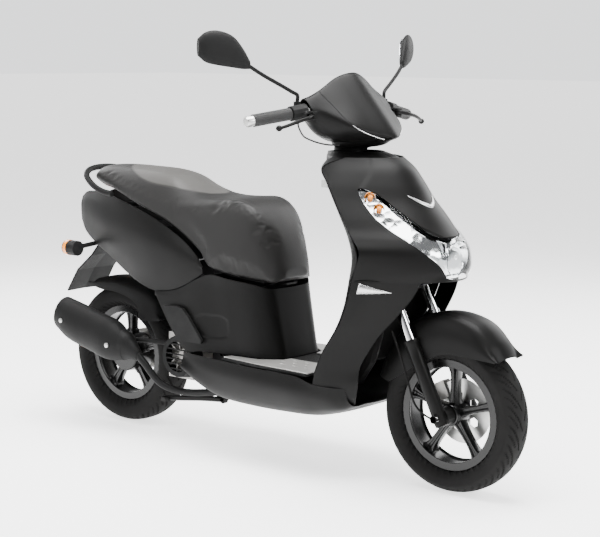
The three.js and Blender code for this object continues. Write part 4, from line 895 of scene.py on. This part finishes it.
def wheel(name, axle, hub_r, hub_half, spoke_wide, body, node):
    """Barrel and hub turned round the axle, with five spokes that thin towards the rim."""
    barrel = [(-35, 139), (-35, 161.5), (-33, 163), (-30, 163), (-28.5, 158), (-20, 152), (-8, 147.5),
              (8, 147.5), (20, 152), (28.5, 158),
              (30, 163), (33, 163), (35, 161.5), (35, 139), (32, 138), (24, 143), (0, 141.5), (-24, 143),
              (-32, 138)]
    sides = 120
    turns = [2 * math.pi * i / sides for i in range(sides)]
    points = [axle + Vector((r * math.cos(a), y, r * math.sin(a))) / 1000 for y, r in barrel for a in turns]
    faces = [[point % len(points) for point in face] for face in grid_faces(len(barrel) + 1, sides, True)]
    hub_profile = [(0, 9), (0, hub_r - 3), (3, hub_r), (hub_half, hub_r * 1.07), (2 * hub_half - 3, hub_r),
                   (2 * hub_half, hub_r - 3), (2 * hub_half, 9)]
    hub_profile = [(distance / 1000, radius / 1000) for distance, radius in hub_profile]
    hub_end = Vector((0, hub_half / 1000, 0))
    hub = turned(name + "_hub", axle - hub_end, axle + hub_end, hub_profile, 64)
    fitted(rounded(hub, 0.0012, 2), body, cast_black, "gloss_black")
    made = faced_out(mesh_object(name, points, faces))
    fitted(rounded(made, 0.0008, 2, 35), body, cast_black, "gloss_black", node)
    spoke_rings = [(hub_r * 0.8, spoke_wide * 1.1, 36), (hub_r + 16, spoke_wide * 0.86, 31),
                   (80, spoke_wide * 0.72, 28), (118, spoke_wide * 0.84, 30),
                   (136, spoke_wide * 1.25, 34), (143, spoke_wide * 1.7, 40)]
    grooved = [(-0.5, -0.36), (-0.42, -0.5), (-0.2, -0.5), (-0.1, -0.4), (0.1, -0.4), (0.2, -0.5),
               (0.42, -0.5),
               (0.5, -0.36)]
    section = grooved + [(a, -b) for a, b in grooved[::-1]]
    for number in range(5):
        turn = math.pi / 2 + 2 * math.pi * number / 5
        radial = Vector((math.cos(turn), 0, math.sin(turn)))
        sideways = Vector((-math.sin(turn), 0, math.cos(turn)))
        shape = [[axle + (radial * r + sideways * (a * wide) + Vector((0, b * deep, 0))) / 1000 for a,
                  b in section]
                 for r, wide, deep in drawn(spoke_rings, 24)]
        spoke = lofted(f"{name}_spoke_{number + 1}", shape)
        fitted(rounded(spoke, 0.0015, 2, 30), body, cast_black, "gloss_black")


wheel("front_rim_cast", front_axle, 32, 36, 30, "front_wheel", "front_rim")
wheel("rear_rim_cast", rear_axle, 62, 44, 34, "rear_wheel", "rear_rim")

# ---------- fork, fender and front brake ----------
# Chromed tubes slide in black cast legs clamped to a forged yoke. The fender hugs the tyre between
# the legs, and a cast caliper straddles the disc on the left.
chrome = Look("hard_chrome", (0.72, 0.72, 0.73), 0.08, {"Metallic": 1.0})
chrome.put("Roughness", 0.05 + chrome.noise(35, 3) * 0.09)
chrome.bump(chrome.noise(200, 2, (1, 1, 6)), 0.00002)
steel = varied("zinc_plated_steel", (0.40, 0.40, 0.39, 1), (0.58, 0.58, 0.57, 1), (30, 3), (0.24, 0.2),
               (260, 3, (1, 1, 7)), {"Metallic": 1.0})
steel.bump(steel.noise(500, 2, (1, 1, 8)), 0.00004)
cast = varied("sand_cast_aluminium", (0.28, 0.27, 0.26, 1), (0.46, 0.45, 0.43, 1), (18, 4), (0.42, 0.18),
              (50, 4), {"Metallic": 0.9})
cast.bump(cast.cells(520) * 0.6 + cast.noise(900, 3) * 0.4, 0.0002)
fork_black = painted("fork_enamel", 0.004, 0.36)
rake = math.radians(26.5)


def on_fork(x, y, z):
    """x ahead of the legs, z up along them, from the front axle."""
    along_x = x * math.cos(rake) - z * math.sin(rake)
    up = x * math.sin(rake) + z * math.cos(rake)
    return front_axle + Vector((along_x, y, up)) / 1000


for side, word in both_sides:
    leg_y = side * 80
    slider = turned(f"fork_leg_{word}", on_fork(0, leg_y, -26), on_fork(0, leg_y, 235),
                    [(0, 0.013), (0.002, 0.018), (0.008, 0.0205), (0.21, 0.0203), (0.245, 0.0203),
                     (0.248, 0.0222), (0.2618, 0.0222), (0.2622, 0.0165)])
    fitted(slider, "fork_lower", fork_black, "fork_black")
    stanchion = turned(f"fork_tube_{word}", on_fork(0, leg_y, 84), on_fork(0, leg_y, 408),
                       [(0, 0.0152), (0.324, 0.0152)], 48)
    fitted(stanchion, "steering", chrome, "chrome")
    nut = turned(f"axle_nut_{word}", on_fork(0, side * 103, 0), on_fork(0, side * 112, 0),
                 [(0, 0.013), (0.006, 0.013), (0.009, 0.011), (0.009, 0.004)], 6)
    fitted(rounded(nut, 0.0006, 2), "fork_lower", chrome, "chrome")
carried("fork_sliders", fork_black, 0.001)
carried("fork_yoke", fork_black, 0.0014)
fender_arc = [
    [46, 258, 248], [58, 276, 214], [72, 292, 194], [90, 296, 182], [108, 292, 168], [124, 284, 168],
    [142, 272, 176], [158, 260, 205],
]


def arch(table, half_side, crown_half, axle):
    rows = []
    for degrees, crown, side in table:
        turn = math.radians(degrees)
        section = [(-half_side, side), (-half_side, (side + crown) / 2), (-crown_half, crown - 14),
                   (-crown_half * 0.5, crown - 3),
                   (0, crown), (crown_half * 0.5, crown - 3), (crown_half, crown - 14),
                   (half_side, (side + crown) / 2), (half_side, side)]
        rows.append([axle + Vector((r * math.cos(turn), y, r * math.sin(turn))) / 1000 for y, r in section])
    return rows


fender = shell("front_fender_skin", arch(fender_arc, 68, 52, front_axle), fine=(80, 64), inward=1)
fitted(fender, "fork_lower", paint, "satin_black", "front_fender")
carried("brake_disc", steel, 0.0004)
carried("brake_caliper", cast, 0.0018)
speedo_route = [on_fork(*p) for p in [(-27, -54, 8), (-50, -62, 14), (-64, -82, 60), (-52, -92, 130),
                                      (-42, -96, 210), (-38, -98, 280)]]
fitted(tube("speedometer_drive_cable", speedo_route, 0.003),
       "fork_lower", rubber, "soft_rubber", "speedometer_cable")

# ---------- handlebar, cowl and mirrors ----------
# A steel bar with ribbed rubber grips, hidden in a two-part painted cowl that splits along a side seam.
# The mirrors screw into bosses on the switch pods.
grip = Look("ribbed_rubber", (0.006, 0.006, 0.006), 0.72)
grip.put("Base Color", grip.mix(grip.noise(30, 3), grey(0.005), grey(0.011)))
grip.bump(grip.cells(320), 0.0004)
glass = Look("mirror_glass", (0.86, 0.88, 0.9), 0.03, {"Metallic": 1.0})
glass.put("Roughness", 0.02 + glass.noise(8) * 0.03)
grip_in = Vector((308, 208, 1083))
grip_way = Vector((-53, 178, -26)).normalized()
ribs = []
for number in range(32):
    distance = 0.0005 + number * 0.0039
    ribs += [(distance, 0.0173), (distance + 0.0005, 0.0179), (distance + 0.0026, 0.0179),
             (distance + 0.0031, 0.0173)]


def across_bar(point, side):
    return mm(point.x, side * point.y, point.z)


for side, word, body in ((-1, "right", "throttle"), (1, "left", "steering")):
    from_point = across_bar(grip_in + grip_way * 40.3, side)
    to_point = across_bar(grip_in + grip_way * 166, side)
    sleeve = turned(f"grip_{word}", from_point, to_point, [(0, 0.013), *ribs, (0.1255, 0.0155)], 48)
    fitted(smooth(sleeve, 30), body, grip, "soft_rubber", *(["throttle_grip"] if side < 0 else []))
    end = turned(f"bar_end_{word}", across_bar(grip_in + grip_way * 166.6, side),
                 across_bar(grip_in + grip_way * 190, side),
                 [(0, 0.0154), (0.018, 0.0154), (0.0236, 0.0128), (0.0242, 0.009), (0.0242, 0.001)])
    fitted(end, "steering", steel, "steel")
carried("handlebar", steel, 0.0004, 50)
for node in ("switch_pod_right", "switch_pod_left"):
    carried(node, plastic, 0.0012, 40)
for node in ("starter_button", "horn_button", "indicator_switch"):
    carried(node, plastic, 0.0005)
lever_pin = Vector((346, 203, 1072))
for side, word in both_sides:
    blade = tube(f"brake_lever_blade_{word}", [across_bar(Vector(p), side) for p in [(347, 204, 1072),
        (354, 222, 1070), (361, 240, 1067), (360, 268, 1062), (357, 292, 1056), (348, 320, 1047),
        (338, 340, 1041)]], 0.0058, (1.15, 0.8))
    fitted(blade, f"{word}_lever", fork_black, "fork_black", f"brake_lever_{word}")
    knob_at = across_bar(Vector((338, 340, 1041)), side)
    knob = turned(f"brake_lever_end_{word}", knob_at - Vector((0, 0.008 * side, 0)),
                  knob_at + Vector((0, 0.009 * side, 0)),
                  [(0, 0.003), (0.002, 0.0066), (0.006, 0.0086), (0.011, 0.0086), (0.015, 0.0066),
                   (0.017, 0.002)])
    fitted(knob, f"{word}_lever", fork_black, "fork_black")
    hub = turned(f"brake_lever_pivot_{word}", across_bar(lever_pin + Vector((0, 0, -6.2)), side),
                 across_bar(lever_pin + Vector((0, 0, 6.2)), side),
                 [(0, 0.008), (0.001, 0.009), (0.0114, 0.009), (0.0124, 0.008)])
    fitted(hub, f"{word}_lever", fork_black, "fork_black")
mirror_joint = Vector((243, 364, 1212))
mirror_out = Vector((-0.45, 0.89, 0)).normalized()
mirror_across = Vector((0.89, 0.45, 0)).normalized()
head_stations = [(-4, 12, 7, 4), (18, 30, 13, 22), (48, 44, 17, 40), (90, 48, 18, 50), (126, 42, 16, 52),
                 (150, 24, 10, 52)]
for side, word in both_sides:
    rings = []
    for along_head, high, deep, lift in drawn(head_stations, 26):
        centre = mirror_joint + mirror_out * along_head + Vector((0, 0, lift))
        rings.append([across_bar(centre + mirror_across * (math.cos(a) * deep) + Vector((0, 0,
            math.sin(a) * high)), side)
                      for a in (2 * math.pi * i / 40 for i in range(40))])
    head = lofted(f"mirror_housing_{word}", rings)
    fitted(smooth(rounded(head, 0.002, 3, 50), 50),
           f"{word}_mirror", plastic, "matte_black", f"mirror_{word}")
    pane_rings = []
    for along_head, high, deep, lift in drawn(head_stations, 26)[3:24]:
        centre = mirror_joint + mirror_out * along_head + Vector((0, 0, lift)) - mirror_across * (deep * 0.93)
        pane_rings.append([across_bar(centre + Vector((0, 0, high * 0.72 * s)),
                                      side) for s in (-1, -0.5, 0, 0.5, 1)])
    pane = mesh_object(f"mirror_pane_{word}", [p for ring in pane_rings for p in ring], grid_faces(21, 5))
    fitted(smooth(thickened(pane, 0.0016), 60), f"{word}_mirror", glass, "matte_black")
    arm = [Vector(p) for p in [(291, 207, 1112), (291, 207, 1130), (284, 224, 1140), (276, 256, 1156),
                               (258, 318, 1187), (243, 364, 1214)]]
    fitted(tube(f"mirror_arm_{word}", [across_bar(p, side) for p in arm], 0.0055),
           f"{word}_mirror", plastic, "matte_black")

cowl_sections = [
    [0, [[283, 1152], [318, 1186], [342, 1184], [410, 1110], [484, 1022], [479, 1006], [430, 994],
         [350, 990], [292, 992], [256, 1014], [234, 1062], [250, 1110]]],
    [60, [[281, 1150], [312, 1174], [328, 1172], [392, 1104], [456, 1030], [452, 1012], [410, 998],
          [340, 991], [288, 996], [255, 1020], [232, 1064], [250, 1110]]],
    [112, [[292, 1138], [306, 1146], [318, 1146], [368, 1098], [420, 1048], [416, 1030], [380, 1014],
           [330, 1008], [290, 1014], [264, 1032], [246, 1068], [262, 1112]]],
    [158, [[296, 1124], [304, 1126], [314, 1124], [336, 1100], [352, 1078], [348, 1062], [332, 1050],
           [312, 1046], [292, 1050], [276, 1060], [268, 1082], [280, 1110]]],
    [186, [[292, 1116], [300, 1116], [308, 1112], [322, 1098], [330, 1086], [328, 1074], [320, 1066],
           [306, 1063], [292, 1065], [284, 1073], [280, 1090], [284, 1106]]],
]
half_cowl = [[(x, y, z) for x, z in points] for y, points in cowl_sections]
whole_cowl = [[(x, -y, z) for x, y, z in row] for row in half_cowl[:0:-1]] + half_cowl
cowl_grid = []
for row in drawn(whole_cowl, 73):
    ring = drawn([*row, row[0]], 61)[:-1]
    cowl_grid.append([mm(*p) for p in ring])
seam_low = Vector((302, 0, 1150))
seam_slope = (1016 - 1150) / (456 - 302)


def cowl_half(name, above, node):
    """The cowl's skin on one side of its seam, closed by its own thickness."""
    made = mesh_object(name, [p for ring in cowl_grid for p in ring], grid_faces(73, 60, True))
    solid_of(thickened(made, 0.0028, 1))
    sign = 1 if above else -1
    gap = 0.9 if above else 0.0
    x0, x1 = 150, 560
    line = [(x, seam_low.z + (x - seam_low.x) * seam_slope + gap) for x in (x0, x1)]
    far = 500 * sign
    outline = [line[0], line[1], (x1, line[1][1] + far), (x0, line[0][1] + far)]
    block = prism("cowl_tool", outline, lambda p, y: mm(p[0], y, p[1]), -230, 230)
    cut_by(made, [block], "INTERSECT")
    return fitted(rounded(made, 0.0008, 2, 50), "steering", paint, "satin_black", node)


cowl_half("bar_cowl_front_skin", True, "bar_cowl_front")
cowl_half("bar_cowl_rear_skin", False, "bar_cowl_rear")
boot_rings = [[324, 46, 46, 964], [330, 50, 50, 977], [352, 78, 68, 986], [364, 92, 80, 1000],
              [372, 98, 88, 1012]]
fitted(shell("stem_boot", oval_skin(boot_rings), fine=(16, 72), inward=1), "steering", paint, "satin_black")

# A bright strip is pressed into the seam on each side, and widens to the front.
for side, word in both_sides:
    strip = []
    for row in cowl_grid[::2]:
        for first, second in zip(row, row[1:] + row[:1]):
            heights = [1000 * p.z - seam_low.z - (1000 * (p.x - datum) - seam_low.x) * seam_slope
                       for p in (first, second)]
            crosses = heights[0] * heights[1] < 0 and first.x > mm(330, 0, 0).x
            if crosses and 0.02 < side * first.y < 0.118:
                strip.append(first.lerp(second, heights[0] / (heights[0] - heights[1])))
    strip = [p + (p - mm(340, 0, 1080)).normalized() * 0.003 for p in sorted(strip, key=lambda p: abs(p.y))]
    fitted(tube(f"cowl_strip_{word}", strip, 0.0021, (1.2, 0.5)), "steering", trim, "chrome")
cable_route = [(303, -216, 1057), (299, -210, 1040), (303, -194, 1014), (312, -178, 1003),
               (327, -150, 992), (343, -120, 986), (356, -92, 986)]
fitted(tube("front_brake_cable", [mm(*p) for p in cable_route], 0.0025),
       "steering", grip, "soft_rubber", "brake_cable_right")
carried("ignition_key", steel, 0.0004)

# ---------- engine and exhaust ----------
# The swing unit is a bare aluminium casting with a black fan cover, a finned cylinder and a black
# muffler under a plain heat shield. It turns about a pin ahead of the crankshaft.
heat_black = moulded("heatproof_black", 0.006, 0.5, 1500)
carried("crankcase", cast, 0.002, 35)
carried("belt_cover", plastic, 0.003)
carried("fan_cover", plastic, 0.0012)
carried("cooling_fan", cast, 0.0006)
carried("kickstart_lever", steel, 0.0008, 45)
carried("air_box", plastic, 0.005)
muffler_line = [(-748, -176, 362, 0.8), (-735, -176, 359, 1), (-700, -176, 350, 1), (-600, -174, 327, 1),
                (-478, -172, 298, 0.96), (-436, -170, 284, 0.6), (-408, -166, 268, 0.32)]
muffler_rings = []
for x, y, z, size in drawn(muffler_line, 46):
    size = min(size, 1.0) * 52
    muffler_rings.append([mm(x + math.sin(a) * size * 0.22, y + math.cos(a) * size * 0.84,
                             z + math.sin(a) * size)
                          for a in (2 * math.pi * i / 48 for i in range(48))])
can = lofted("muffler_can", muffler_rings)
fitted(rounded(can, 0.002, 3, 35), "engine", heat_black, "exhaust_black", "muffler")
tail_tube = turned("muffler_outlet", mm(-742, -176, 360), mm(-770, -176, 367),
                   [(0, 0.015), (0.028, 0.015), (0.0286, 0.0135), (0.004, 0.013)], 48)
fitted(tail_tube, "engine", heat_black, "exhaust_black")
header = [(-414, -167, 272), (-388, -160, 244), (-340, -140, 186), (-280, -112, 162), (-190, -102, 168),
          (-104, -88, 188), (-80, -48, 212), (-98, -12, 226), (-112, 0, 238)]
fitted(tube("exhaust_header", [mm(*p) for p in header], 0.012), "engine", heat_black, "exhaust_black")
bracket = [(-520, -140, 306), (-440, -126, 312), (-360, -100, 310), (-343, -84, 310)]
fitted(tube("muffler_bracket", [mm(*p) for p in bracket], 0.008), "engine", heat_black, "exhaust_black")
shield_line = [(-762, 372, 0.94), (-700, 349, 1.1), (-600, 325, 1.12), (-520, 306, 1.1), (-452, 288, 0.66)]
guard_rows = []
for x, z, size in drawn(shield_line, 30):
    r = 59 * size
    guard_rows.append([mm(x + math.sin(math.radians(a)) * r * 0.22,
                          -174 - math.cos(math.radians(a)) * r * 0.84, z + math.sin(math.radians(a)) * r)
                       for a in np.linspace(-118, 118, 31)])
guard = shell("muffler_heat_shield", guard_rows, thick=0.002, fine=(60, 60), inward=1)
fitted(guard, "engine", plastic, "matte_black", "muffler_shield")
for x, z, size in ((-720, 356, 1.05), (-500, 300, 1.02)):
    bolt_at = mm(x, -174 - 59 * size * 0.84, z)
    bolt = turned(f"shield_bolt_{-x}", bolt_at + Vector((0, 0.001, 0)), bolt_at - Vector((0, 0.005, 0)),
                  [(0, 0.008), (0.004, 0.008), (0.005, 0.006), (0.0052, 0.001)], 32)
    fitted(bolt, "engine", steel, "steel")
hugger_arc = [[34, 262, 246], [48, 268, 176], [58, 270, 204], [72, 262, 210], [90, 258, 214],
              [106, 264, 224], [120, 276, 262]]
hugger = shell("rear_hugger_skin", arch(hugger_arc, 78, 66, rear_axle), fine=(70, 64), inward=1)
fitted(hugger, "engine", plastic, "matte_black", "rear_hugger")

# ---------- shock absorber, stand and footpegs ----------
# One coil-over shock on the left, a pressed steel centre stand, and folding passenger footpegs.
carried("shock_damper", enamel, 0.0006, 40)
carried("shock_rod", steel, 0.0006, 40)
shock_top = Vector((-430, 106, 560))
shock_way = (Vector((-600, 106, 330)) - shock_top)
shock_long = shock_way.length
shock_way.normalize()
shock_side = Vector((shock_way.z, 0, -shock_way.x))
coil_from, coil_to = 35.8, shock_long - 45.8
coil_r = 19
coil_turns = 6
coil = []
for number in range(241):
    share = number / 240
    turn = 2 * math.pi * coil_turns * share
    p = shock_top + shock_way * (coil_from + (coil_to - coil_from) * share)
    p += shock_side * (math.cos(turn) * coil_r) + Vector((0, math.sin(turn) * coil_r, 0))
    coil.append(mm(*p))
spring = tube("shock_coil", coil[::4], 0.0035)
fitted(spring, "shock_upper", steel, "steel", "shock_spring")
carried("centre_stand", enamel, 0.0012, 40)
for node in ("footpeg_right", "footpeg_left"):
    carried(node, plastic, 0.002)

size = {"cad": cad_box, "visual": [list(corner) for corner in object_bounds()]}
